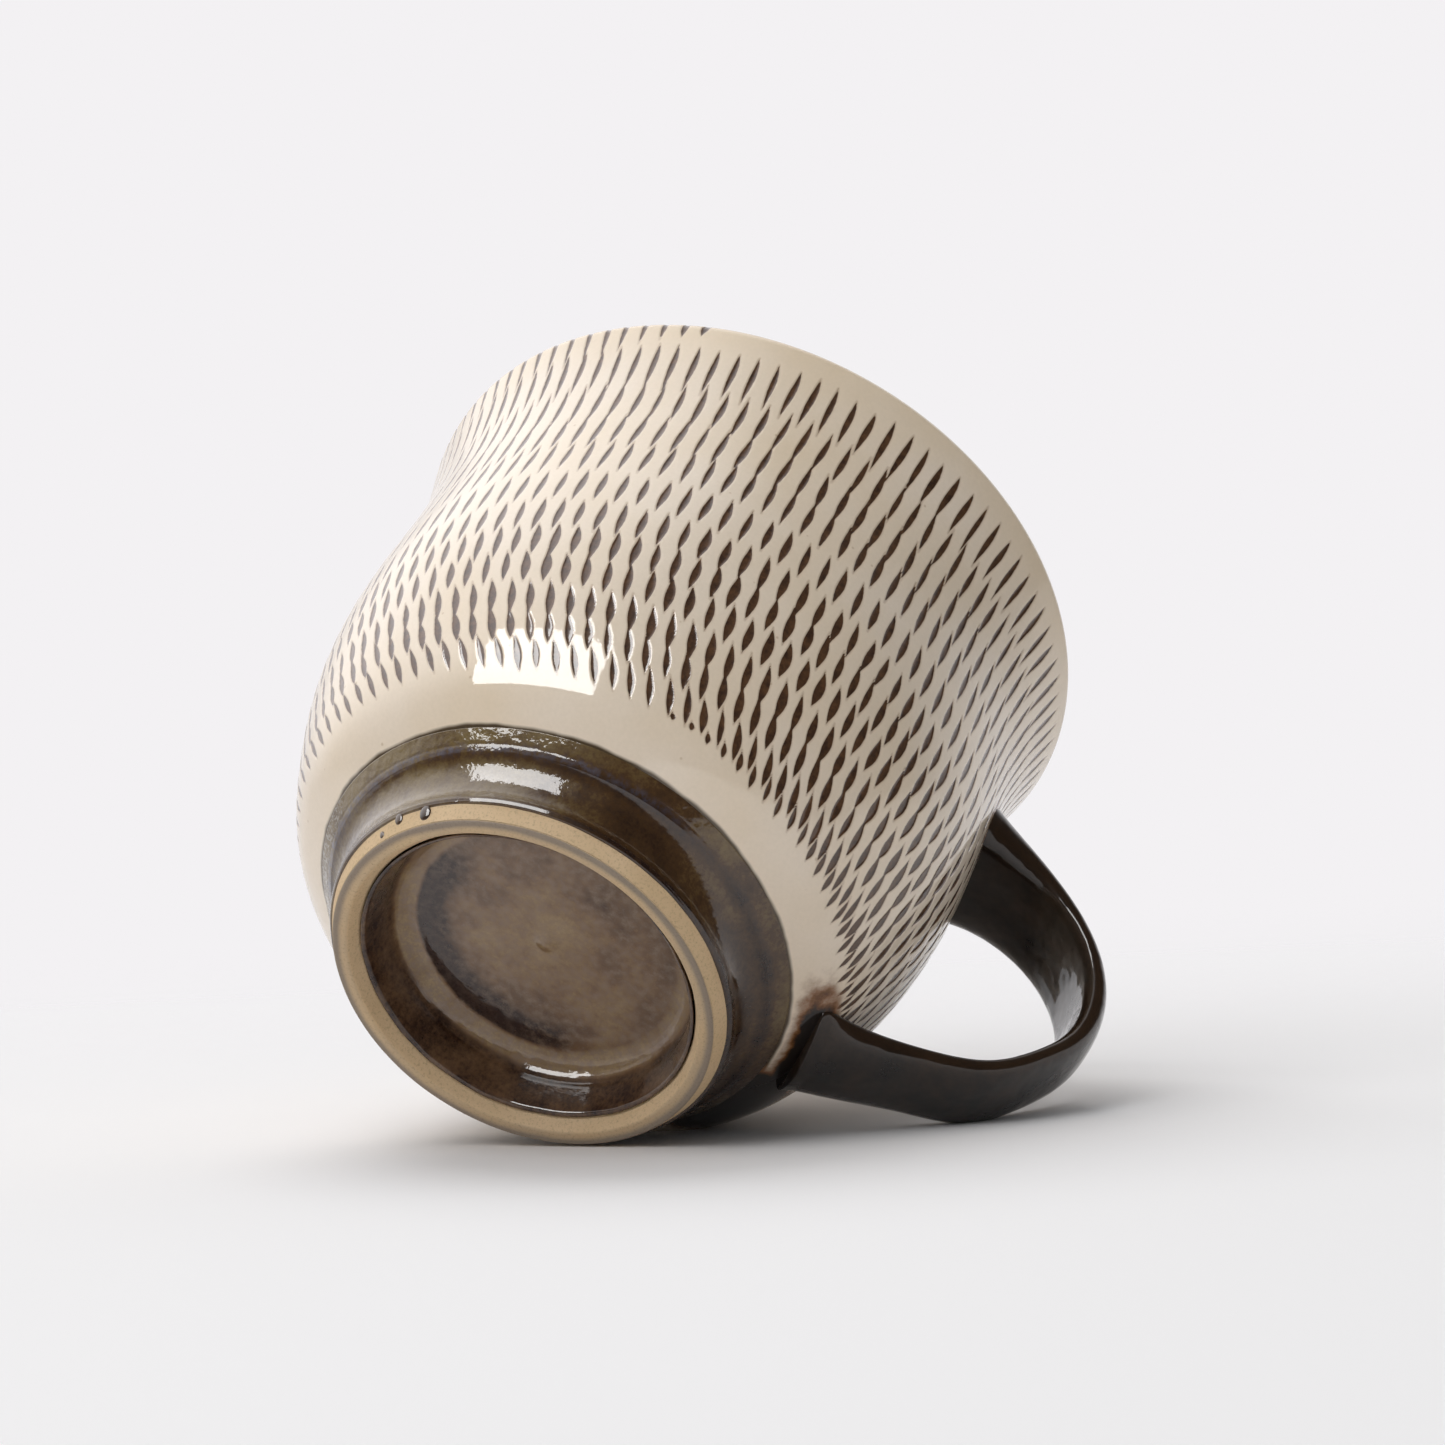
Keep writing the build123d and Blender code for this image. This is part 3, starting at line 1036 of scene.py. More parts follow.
@dataclass(frozen=True)
class BrownGlazeFinish:
    """Amber-brown iron glaze: olive where thin, near black where thick, milky in hollows.

    It melts glossy. Fine crystals break its colour into speckle, and it pools blue-white
    in the cove of the foot.
    """

    thin: str = "#76633D"
    middle: str = "#4D361E"
    thick: str = "#24130A"
    milk: str = "#5E6072"
    scrape: str = "#8E867A"
    name: str = "amber_brown_iron_glaze"

    def build(self) -> bpy.types.Material:
        """Builds the material; it reads `thick`, `milk` and `scuff`, each from 0 to 1."""
        r = Recipe.of_material(self.name)
        place = r.add("TexCoord").outputs["Object"]
        thick = r.add("Attribute", attribute_name="thick").outputs["Fac"]
        milk = r.add("Attribute", attribute_name="milk").outputs["Fac"]
        # Patches 9 mm across where the glaze ran together, and 0.6 mm crystal speckle.
        patch = r.add(
            "TexNoise", {"Vector": place, "Scale": per_mm(9.0), "Detail": 5.0, "Roughness": 0.65}
        )
        fleck = r.add(
            "TexNoise", {"Vector": place, "Scale": per_mm(0.6), "Detail": 3.0, "Roughness": 0.7}
        )
        depth = r.add(
            "Math", {0: patch.outputs["Fac"], 1: 1.3, 2: thick}, operation="MULTIPLY_ADD"
        ).outputs[0]
        flecked = r.add(
            "Math", {0: fleck.outputs["Fac"], 1: 0.55, 2: depth}, operation="MULTIPLY_ADD"
        ).outputs[0]
        first = r.add(
            "Mix",
            {
                0: r.add("MapRange", {"Value": flecked, 1: 0.90, 2: 1.32}).outputs["Result"],
                6: linear(self.thin),
                7: linear(self.middle),
            },
            data_type="RGBA",
        )
        second = r.add(
            "Mix",
            {
                0: r.add("MapRange", {"Value": flecked, 1: 1.28, 2: 1.72}).outputs["Result"],
                6: first.outputs[2],
                7: linear(self.thick),
            },
            data_type="RGBA",
        )
        milky_noise = r.add(
            "TexNoise", {"Vector": place, "Scale": per_mm(1.2), "Detail": 4.0, "Roughness": 0.7}
        )
        milky = r.add(
            "Math",
            {
                0: r.add(
                    "MapRange", {"Value": milky_noise.outputs["Fac"], 1: 0.42, 2: 0.66}
                ).outputs["Result"],
                1: milk,
            },
            operation="MULTIPLY",
        ).outputs[0]
        pooled = r.add(
            "Mix", {0: milky, 6: second.outputs[2], 7: linear(self.milk)}, data_type="RGBA"
        )
        # A scuffed patch: bare grey scratches 0.8 mm apart.
        scratch = r.add(
            "TexNoise", {"Vector": place, "Scale": per_mm(0.8), "Detail": 2.0, "Distortion": 1.5}
        )
        scuff = r.add("Attribute", attribute_name="scuff").outputs["Fac"]
        scraped = r.add(
            "Math",
            {
                0: r.add("MapRange", {"Value": scratch.outputs["Fac"], 1: 0.5, 2: 0.6}).outputs[0],
                1: scuff,
            },
            operation="MULTIPLY",
        ).outputs[0]
        colour = r.add(
            "Mix", {0: scraped, 6: pooled.outputs[2], 7: linear(self.scrape)}, data_type="RGBA"
        )
        # Orange-peel ripple of the melt, 1.5 mm, which a thick coat levels out.
        peel = r.add("TexNoise", {"Vector": place, "Scale": per_mm(1.5), "Detail": 3.0})
        level = r.add("MapRange", {"Value": thick, 1: 0.1, 2: 0.6, 3: 1.0, 4: 0.25})
        bump = r.add(
            "Bump",
            {
                "Height": peel.outputs["Fac"],
                "Strength": level.outputs["Result"],
                "Distance": 0.12 * MM,
            },
        )
        shader = r.add(
            "BsdfPrincipled",
            {
                "Base Color": colour.outputs[2],
                "Roughness": r.add(
                    "MapRange", {"Value": fleck.outputs["Fac"], 1: 0.3, 2: 0.7, 3: 0.25, 4: 0.45}
                ).outputs["Result"],
                "Specular IOR Level": 0.1,
                "Coat Weight": 1.0,
                "Coat Roughness": 0.05,
                "Coat IOR": 1.6,
                "Normal": bump.outputs["Normal"],
                "Coat Normal": bump.outputs["Normal"],
            },
        )
        return r.done(shader.outputs[0])


@dataclass(frozen=True)
class BareClayFinish:
    """Fired stoneware without glaze: matt, sandy, toasted tan, grey where it is worn."""

    tan: str = "#C8AA7F"
    light: str = "#DBBF99"
    grey: str = "#7F756C"
    dark: str = "#5B4630"

    def build(self) -> bpy.types.Material:
        """Builds the material; it reads `worn` (0 to 1)."""
        r = Recipe.of_material("toasted_bare_stoneware")
        place = r.add("TexCoord").outputs["Object"]
        worn = r.add("Attribute", attribute_name="worn").outputs["Fac"]
        # Grog and sand in the body, 0.35 mm, over toasting patches 7 mm across.
        sand = r.add(
            "TexNoise", {"Vector": place, "Scale": per_mm(0.35), "Detail": 3.0, "Roughness": 0.8}
        )
        toast = r.add("TexNoise", {"Vector": place, "Scale": per_mm(7.0), "Detail": 4.0})
        base = r.add(
            "Mix",
            {0: toast.outputs["Fac"], 6: linear(self.tan), 7: linear(self.light)},
            data_type="RGBA",
        )
        wear = r.add(
            "Math", {0: toast.outputs["Fac"], 1: 0.5, 2: worn}, operation="MULTIPLY_ADD"
        ).outputs[0]
        greyed = r.add(
            "Mix",
            {
                0: r.add(
                    "MapRange", {"Value": wear, 1: 0.45, 2: 1.05, 3: 0.0, 4: 0.85}
                ).outputs["Result"],
                6: base.outputs[2],
                7: linear(self.grey),
            },
            data_type="RGBA",
        )
        colour = r.add(
            "Mix",
            {
                0: r.add(
                    "MapRange", {"Value": sand.outputs["Fac"], 1: 0.52, 2: 0.78, 3: 0.0, 4: 0.55}
                ).outputs["Result"],
                6: greyed.outputs[2],
                7: linear(self.dark),
            },
            data_type="RGBA",
        )
        bump = r.add(
            "Bump",
            {"Height": sand.outputs["Fac"], "Strength": 0.6, "Distance": 0.10 * MM},
        )
        shader = r.add(
            "BsdfPrincipled",
            {
                "Base Color": colour.outputs[2],
                "Roughness": 0.82,
                "IOR": 1.5,
                "Normal": bump.outputs["Normal"],
            },
        )
        return r.done(shader.outputs[0])


@dataclass(frozen=True)
class BlackGlazeFinish:
    """Black iron glaze on the pulled handle: deep, glossy, and amber where edges thin it."""

    black: str = "#130D09"
    brown: str = "#2C1F14"
    amber: str = "#3D2A18"

    def build(self) -> bpy.types.Material:
        """Builds the material; it reads `rim`, near 1 on the strap's edges."""
        r = Recipe.of_material("black_iron_glaze")
        place = r.add("TexCoord").outputs["Object"]
        rim = r.add("Attribute", attribute_name="rim").outputs["Fac"]
        # Drifts 6 mm across in the melt and 0.5 mm crystals that break on the edges.
        drift = r.add(
            "TexNoise", {"Vector": place, "Scale": per_mm(6.0), "Detail": 4.0, "Roughness": 0.6}
        )
        crystal = r.add(
            "TexNoise", {"Vector": place, "Scale": per_mm(0.5), "Detail": 3.0, "Roughness": 0.7}
        )
        base = r.add(
            "Mix",
            {
                0: r.add(
                    "MapRange", {"Value": drift.outputs["Fac"], 1: 0.35, 2: 0.7}
                ).outputs["Result"],
                6: linear(self.black),
                7: linear(self.brown),
            },
            data_type="RGBA",
        )
        broken = r.add(
            "Math", {0: crystal.outputs["Fac"], 1: 0.8, 2: rim}, operation="MULTIPLY_ADD"
        ).outputs[0]
        colour = r.add(
            "Mix",
            {
                0: r.add(
                    "MapRange", {"Value": broken, 1: 0.45, 2: 1.5, 3: 0.0, 4: 0.6}
                ).outputs["Result"],
                6: base.outputs[2],
                7: linear(self.amber),
            },
            data_type="RGBA",
        )
        # Finger ripples under the thick melt, 5 mm, which fray the highlights.
        peel = r.add("TexNoise", {"Vector": place, "Scale": per_mm(5.0), "Detail": 2.0})
        bump = r.add(
            "Bump",
            {"Height": peel.outputs["Fac"], "Strength": 0.6, "Distance": 0.5 * MM},
        )
        shader = r.add(
            "BsdfPrincipled",
            {
                "Base Color": colour.outputs[2],
                "Roughness": 0.4,
                "Specular IOR Level": 0.1,
                "Coat Weight": 1.0,
                "Coat Roughness": 0.06,
                "Coat IOR": 1.5,
                "Normal": bump.outputs["Normal"],
                "Coat Normal": bump.outputs["Normal"],
            },
        )
        return r.done(shader.outputs[0])


class Slot(Enum):
    """Material slots of the mug's finishes."""

    CLAY = "bare_clay"
    SLIP = "cream_slip"
    BROWN = "amber_brown_glaze"
    BLACK = "black_glaze"


def settle(piece: bpy.types.Object, slot: Slot, *nodes: str) -> None:
    """Fixes a finished piece to the mug and says what it stands for.

    Args:
        piece: the new object.
        slot: the material slot that its finish comes from; not used.
        *nodes: CAD nodes that it replaces.
    """
    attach(piece, "root")
    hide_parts(*nodes)
    LOG.info("%s: %d faces, for %s", piece.name, len(piece.data.polygons), ", ".join(nodes))


@dataclass(frozen=True)
class HandleSpill:
    """Black glaze that ran from a handle joint on to the slip, in a rounded rectangle.

    Attributes:
        level: height of its middle along the wall, from the foot band.
        half_width: half its width round the cup.
        half_height: half its height along the wall.
        turn: azimuth of its middle, in degrees.
    """

    level: float
    half_width: float
    half_height: float
    turn: float = 0.0

    def inside(self, radii: np.ndarray, levels: np.ndarray, angles: np.ndarray) -> np.ndarray:
        """Millimetres inside the outline |x / width|³ + |y / height|³ = 1."""
        aside = np.abs(radii[:, None] * (angles[None] - math.radians(self.turn))) / self.half_width
        up = np.abs(levels - self.level)[:, None] / self.half_height
        scaled = (aside**3 + up**3) ** (1.0 / 3.0)
        return (1.0 - scaled) * min(self.half_width, self.half_height)


@dataclass
class SlippedWall:
    """The slip coat: four closed rings of relief, one above the other.

    Attributes:
        sizes: the clay that it covers.
        marks: the cuts in it.
        names: the rings, from the foot band to the lip.
        rows_per_ring: grid rows of one ring.
        columns: grid columns round the cup.
        thickness: how thick the coat is.
        spills: where the handle's glaze ran on to it.
        clear: distance from a spill within which no mark is cut.
        fade: share of that distance that counts as the distance to a mark.
    """

    sizes: CupSizes
    marks: ChatterMarks = field(default_factory=ChatterMarks)
    names: tuple[str, ...] = ("slip_shin", "slip_flank", "slip_belly", "slip_rim")
    rows_per_ring: int = 66
    columns: int = 1400
    thickness: float = 0.45
    spills: tuple[HandleSpill, ...] = (
        HandleSpill(4.4, 9.6, 2.4),
        HandleSpill(2.0, 9.0, 6.2, turn=23.0),
        HandleSpill(50.6, 9.2, 3.8),
    )
    clear: float = 0.6
    fade: float = 0.3

    def build(self, finish: bpy.types.Material) -> list[bpy.types.Object]:
        """Cuts the marks into the wall and makes the rings.

        Args:
            finish: the slip's material.

        Returns:
            The ring pieces, from the foot band to the lip.
        """
        outside = self.sizes.outside()
        count = len(self.names) * self.rows_per_ring + 1
        levels = np.linspace(0.0, outside.length, count)
        line = outside.at(levels)
        outwards = outside.outwards(levels)
        angles = azimuths(self.columns)
        cut = self.marks.cut_depth(line[:, 0], levels, self.columns)
        spill = np.max([s.inside(line[:, 0], levels, angles) for s in self.spills], axis=0)
        cut = np.minimum(cut, -self.fade * (spill + self.clear))
        sunk = self.marks.relief(cut)
        surface = line[:, None] - sunk[..., None] * outwards[:, None]
        points = turned(surface, angles)
        normals = grid_normals(points)
        back = turned(line - self.thickness * outwards, angles)
        made = []
        for ring, name in enumerate(self.names):
            low = ring * self.rows_per_ring
            high = low + self.rows_per_ring
            span = slice(low, high + 1)
            closing = [high, low]
            skin = Skin(
                np.concatenate([points[span], back[closing]]),
                wraps_rows=True,
                layers={
                    "cut": np.concatenate([cut[span], cut[closing]]),
                    "spill": np.concatenate([spill[span], spill[closing]]),
                },
                normals=np.concatenate([normals[span], -normals[closing]]),
            )
            piece = skin.to_object(name, finish)
            settle(piece, Slot.SLIP, "slip_coat")
            made.append(piece)
        return made


@dataclass(frozen=True)
class GlazeDrop:
    """A drop of glaze that ran on to the bare foot.

    Attributes:
        azimuth: place round the axis, in degrees.
        height: height of its middle.
        radius: half its width.
        flatness: how far it stands out, as a share of the radius.
    """

    azimuth: float
    height: float
    radius: float
    flatness: float = 0.35

    def skin(self, radius_at: float) -> Skin:
        """A sphere flattened against the foot's flank.

        Args:
            radius_at: radius of the flank at the drop's height.

        Returns:
            The drop's grid, with a pole at each end.
        """
        polar = np.linspace(0.0, math.pi, 13)[:, None]
        turn = azimuths(24)[None]
        out = -self.radius * self.flatness * np.cos(polar) * np.ones_like(turn)
        aside = self.radius * np.sin(polar) * np.cos(turn)
        up = 1.2 * self.radius * np.sin(polar) * np.sin(turn)
        angle = math.radians(self.azimuth)
        outwards = np.array([math.cos(angle), math.sin(angle), -0.6]) / math.hypot(1.0, 0.6)
        around = np.array([-math.sin(angle), math.cos(angle), 0.0])
        above = np.cross(outwards, around)
        middle = np.array([radius_at * math.cos(angle), radius_at * math.sin(angle), self.height])
        points = middle + out[..., None] * outwards + aside[..., None] * around
        points = points + up[..., None] * above
        shape = points.shape[:2]
        layers = {"thick": np.full(shape, 0.6), "milk": np.zeros(shape), "scuff": np.zeros(shape)}
        return Skin(points, layers=layers)


@dataclass
class TurnedFoot:
    """The bare ring, the brown glaze on its neck, and the glaze pooled in its hollow.

    Attributes:
        sizes: the clay that the glazes cover.
        columns: grid columns of the ring and the band.
        recess_columns: grid columns of the pooled glaze.
        band_rows: grid rows of the band's face.
        ring_wave: how uneven the resting edge is.
        line_wave: how uneven the band's lower edge is, and the edge of the pool.
        tuck: how far the band's lower edge tucks in towards the clay.
        tuck_height: length along the face over which it does.
        groove: height of the faint groove above the cove.
        groove_width: distance over which the groove dies away.
        groove_depth: how deep it is.
        pool_radius: radius of the glaze in the corner of the recess.
        drops: glaze on the bare flank.
    """

    sizes: CupSizes
    columns: int = 720
    recess_columns: int = 360
    band_rows: int = 110
    ring_wave: float = 0.05
    line_wave: float = 0.22
    tuck: float = 0.42
    tuck_height: float = 0.5
    groove: float = 9.95
    groove_width: float = 0.16
    groove_depth: float = 0.02
    pool_radius: float = 3.3
    drops: tuple[GlazeDrop, ...] = (
        GlazeDrop(-152.0, 2.1, 0.65),
        GlazeDrop(-142.4, 1.7, 0.85),
        GlazeDrop(-158.7, 1.2, 0.4),
    )

    def neck_outline(self) -> np.ndarray:
        """Face of the band glaze from the glaze line over neck and cove to the slip."""
        s = self.sizes
        neck = SmoothLine([s.flare, s.neck, s.cove], ((-0.4, 1.0), (1.0, 0.6))).even(60)
        return np.concatenate([neck, refined(np.array([s.cove, s.band_top]), 0.12)[1:]])

    def build_ring(self, finish: bpy.types.Material) -> bpy.types.Object:
        """The bare clay: rest, flared edge and inner chamfer, closed behind the glazes."""
        s = self.sizes
        mouth = s.recess_mouth
        corners = [
            (s.rest - s.rest_width, 0.0),
            (s.rest - 0.15, 0.0),
            (s.rest + 0.05, 0.5),
            (s.flare[0] - s.coat + 0.05, s.flare[1] + 0.4),
            (s.neck[0] - s.coat - 0.3, s.neck[1]),
            (s.neck[0] - s.coat - 0.3, s.cove[1] - 0.3),
            (s.recess_floor + 0.4, s.cove[1] - 0.3),
            (mouth[0] + 0.1, mouth[1] + 0.5),
        ]
        rounding = [0.35, 0.3, 0.25, 0.2, 0.3, 0.3, 0.3, 0.3]
        outline = softened(corners, rounding, closed=True)
        outline = refined(np.concatenate([outline, outline[:1]]), 0.3)[:-1]
        angles = azimuths(self.columns)
        uneven = self.ring_wave * ripple(angles, (2, 3, 5, 9, 14, 23), 5)
        low = ease(-outline[:, 1], -1.5, -0.2)
        spread = np.repeat(outline[:, None], self.columns, axis=1)
        spread[..., 0] += low[:, None] * (uneven - self.ring_wave)
        flat = ease(-outline[:, 1], -0.35, -0.02)
        worn = np.repeat(flat[:, None], self.columns, axis=1)
        outer = ease(spread[..., 0], s.rest - 1.5, s.rest - 0.3)
        worn = worn * (0.35 + 0.65 * outer)
        skin = Skin(turned(spread, angles), wraps_rows=True, layers={"worn": worn})
        piece = skin.to_object("bare_foot_ring", finish)
        settle(piece, Slot.CLAY, "foot_ring")
        return piece

    def build_band(self, finish: bpy.types.Material) -> bpy.types.Object:
        """The brown coat, which is darkest where it pooled.

        Its lower edge wavers and tucks in towards the clay, and a faint groove runs
        above the cove. The glaze is thick in the cove, in streaks on the neck and along the
        lower edge. On the handle's side of the mug, away from the lamps, it is made darker
        as painted shade. It is milky just above the cove on another side, and scuffed in one patch
        there.
        """
        s = self.sizes
        angles = azimuths(self.columns)
        face = Outline(self.neck_outline())
        share = np.linspace(0.0, 1.0, self.band_rows)
        line = self.line_wave * ripple(angles, (3, 5, 8, 13, 21, 34), 8)
        lengths = share[:, None] * face.length + (1.0 - share[:, None]) ** 3 * line[None]
        points = face.at(np.clip(lengths, 0.0, face.length))
        points[..., 1] += np.minimum(lengths, 0.0)
        outwards = face.outwards(np.clip(lengths, 0.0, face.length))
        edge = 1.0 - ease(share * face.length, 0.0, self.tuck_height)
        groove = hump(face.at(share * face.length)[:, 1], self.groove, self.groove_width)
        raised = -self.tuck * edge[:, None] ** 2 - self.groove_depth * groove[:, None]
        points = points + raised[..., None] * outwards
        behind = np.array([(0.45, 0.0), (0.45, 0.1), (0.6, 0.0), (0.9, 0.3)])
        back = self.neck_outline()[[-1, 60, 30, 0]] - behind
        closed = np.concatenate([points, np.repeat(back[:, None], self.columns, axis=1)])
        height = closed[..., 1]
        cove = hump(height, s.cove[1], 0.7)
        neck = hump(height, 6.6, 1.4)
        rolled = hump(height, 2.7, 0.5)
        streak = 0.5 + 0.5 * ripple(angles, (2, 4, 7, 11), 3)[None]
        thick = 0.1 + 0.32 * cove + 0.25 * neck * streak + 0.3 * rolled
        # Painted shade: raised thickness darkens the band on the handle's side, which faces away
        # from the lamps.
        thick = thick + 0.25 * ease(np.cos(angles + math.radians(30.0)), -0.4, 0.6)[None]
        patch = ease(np.cos(angles - math.radians(166.0)), 0.94, 0.985)[None]
        scuff = patch * ease(height, 9.6, 10.6)
        pooled = ease(np.cos(angles + math.radians(150.0)), -0.1, 0.8)[None]
        milk = 0.9 * hump(height, 9.6, 0.45) * pooled * (0.4 + 0.6 * streak)
        layers = {"thick": thick, "milk": milk, "scuff": scuff}
        skin = Skin(turned(closed, angles), wraps_rows=True, layers=layers)
        piece = skin.to_object("brown_foot_band", finish)
        settle(piece, Slot.BROWN, "foot_band_glaze")
        return piece

    def build_drops(self, finish: bpy.types.Material) -> list[bpy.types.Object]:
        """Three drops of the band glaze on the bare flank."""
        s = self.sizes
        made = []
        for number, drop in enumerate(self.drops, start=1):
            share = (drop.height - 0.5) / (s.flare[1] - 0.5)
            radius = s.rest + share * (s.flare[0] - s.coat - s.rest)
            piece = drop.skin(radius).to_object(f"glaze_drop_{number}", finish)
            settle(piece, Slot.BROWN, "foot_band_glaze")
            made.append(piece)
        return made

    def build_recess(self, finish: bpy.types.Material) -> bpy.types.Object:
        """The glaze in the hollow: flat disc with a nub, a round corner and the wall.

        It is thick on the wall and in a crescent on the disc, and thin in the corner and
        in the middle. The disc is milky, but not in the crescent.
        """
        s = self.sizes
        face = s.cove[1] - s.coat
        radius = s.recess_floor - s.coat
        pool = self.pool_radius
        nub = np.linspace(0.0, s.nub[0], 16)
        bulge = s.nub[1] * (0.5 + 0.5 * np.cos(math.pi * nub / s.nub[0])) ** 1.5
        disc = np.stack([nub, face - bulge], axis=-1)
        corner = arc_points((radius - pool, face - pool), pool, 90, 4)
        foot = (s.recess_mouth[0] - s.coat, s.recess_mouth[1] + 0.2)
        lip = softened(
            [tuple(corner[-1]), foot, (s.recess_mouth[0] + 0.02, s.recess_mouth[1] - 0.05)],
            [0.0, 0.25, 0.0],
            closed=False,
        )
        back = np.array([(s.recess_floor + 0.02, s.cove[1] - 0.1), (0.0, s.cove[1] - 0.1)])
        outline = refined(np.concatenate([disc, corner, lip[1:], back]), 0.3)
        angles = azimuths(self.recess_columns)
        spread = np.repeat(outline[:, None], self.recess_columns, axis=1)
        edge = 1.0 - ease(spread[..., 1], 1.4, 3.4)
        spread[..., 1] += edge * self.line_wave * ripple(angles, (3, 5, 9, 14, 22, 31), 17)[None]
        across = spread[..., 0]
        on_wall = ease(across, radius - 0.9, radius - 0.1)
        in_corner = ease(across, radius - pool - 0.4, radius - pool + 0.5) * (1.0 - on_wall)
        middle = 1.0 - ease(across, 1.0, 11.0)
        crescent = ease(across, 11.0, 16.0) * ease(np.cos(angles - 2.3), 0.1, 0.8)[None]
        thick = 0.42 + 0.22 * on_wall - 0.25 * middle - 0.25 * in_corner
        thick = thick + 0.6 * crescent * (1.0 - on_wall) * (1.0 - in_corner)
        milk = (1.0 - on_wall) * (0.75 + 0.25 * in_corner) * (1.0 - 0.3 * middle)
        milk = milk * (1.0 - 0.8 * crescent * (1.0 - in_corner))
        layers = {"thick": thick, "milk": milk, "scuff": np.zeros_like(thick)}
        skin = Skin(turned(spread, angles), layers=layers)
        piece = skin.to_object("recess_pool", finish)
        settle(piece, Slot.BROWN, "recess_glaze")
        return piece


@dataclass
class GlazedInside:
    """The coat inside the cup, from the lip's crown down the wall and over the floor.

    Attributes:
        sizes: the clay that it covers.
        columns: grid columns round the cup.
        thickness: how thick the coat is.
        shares: places on the outside wall, from the rim, that the inside follows.
        lip_tangent: direction in which the line leaves the lip.
        floor_tangent: direction in which it reaches the flat of the floor.
        floor_pull: how strongly that last direction holds it.
        rows: points on the line from the lip to the floor.
        back_rows: points on the hidden back of the coat.
    """

    sizes: CupSizes
    columns: int = 240
    thickness: float = 0.45
    shares: tuple[float, ...] = (0.84, 0.68, 0.52, 0.36, 0.2)
    lip_tangent: tuple[float, float] = (-0.2, -1.0)
    floor_tangent: tuple[float, float] = (-1.0, -0.03)
    floor_pull: float = 2.0
    rows: int = 80
    back_rows: int = 60

    def build(self, finish: bpy.types.Material) -> bpy.types.Object:
        """Makes the closed shell of the inside coat.

        Args:
            finish: the slip's material, which the inside shares.

        Returns:
            The new piece.
        """
        s = self.sizes
        lip = s.lip_line()
        crown = len(lip) // 2
        wall = Outline(s.wall_line())
        places = np.array(self.shares) * wall.length
        offset = wall.at(places) - s.wall * wall.outwards(places)
        floor_face = s.cove[1] + s.floor
        stations = [tuple(lip[-1])] + [tuple(p) for p in offset] + [(s.floor_flat, floor_face)]
        ends = (self.lip_tangent, self.floor_tangent)
        hollow = SmoothLine(stations, ends, last_pull=self.floor_pull).even(self.rows)
        front = np.concatenate([lip[crown:-1], hollow, [[0.0, floor_face]]])
        face = Outline(front)
        back = np.linspace(face.length, 0.0, self.back_rows)
        behind = face.at(back) - self.thickness * face.outwards(back)
        behind[0, 0] = 0.0
        outline = refined(np.concatenate([behind, front]), 0.8)
        angles = azimuths(self.columns)
        points = turned(outline, angles)
        shape = points.shape[:2]
        layers = {"cut": np.full(shape, -1.0), "spill": np.full(shape, -9.0)}
        piece = Skin(points, layers=layers).to_object("inside_glaze", finish)
        settle(piece, Slot.SLIP, "liner_glaze")
        return piece


@dataclass
class PulledHandle:
    """The strap handle under its black glaze."""

    sizes: CupSizes
    strap: StrapSizes = field(default_factory=StrapSizes)

    def build(self, finish: bpy.types.Material) -> bpy.types.Object:
        """Makes the strap, with both roots running into the wall."""
        skin = self.strap.skin(self.sizes.rim - self.sizes.belly[0], self.sizes.wall_line())
        piece = skin.to_object("strap_handle", finish)
        settle(piece, Slot.BLACK, "pulled_handle")
        return piece


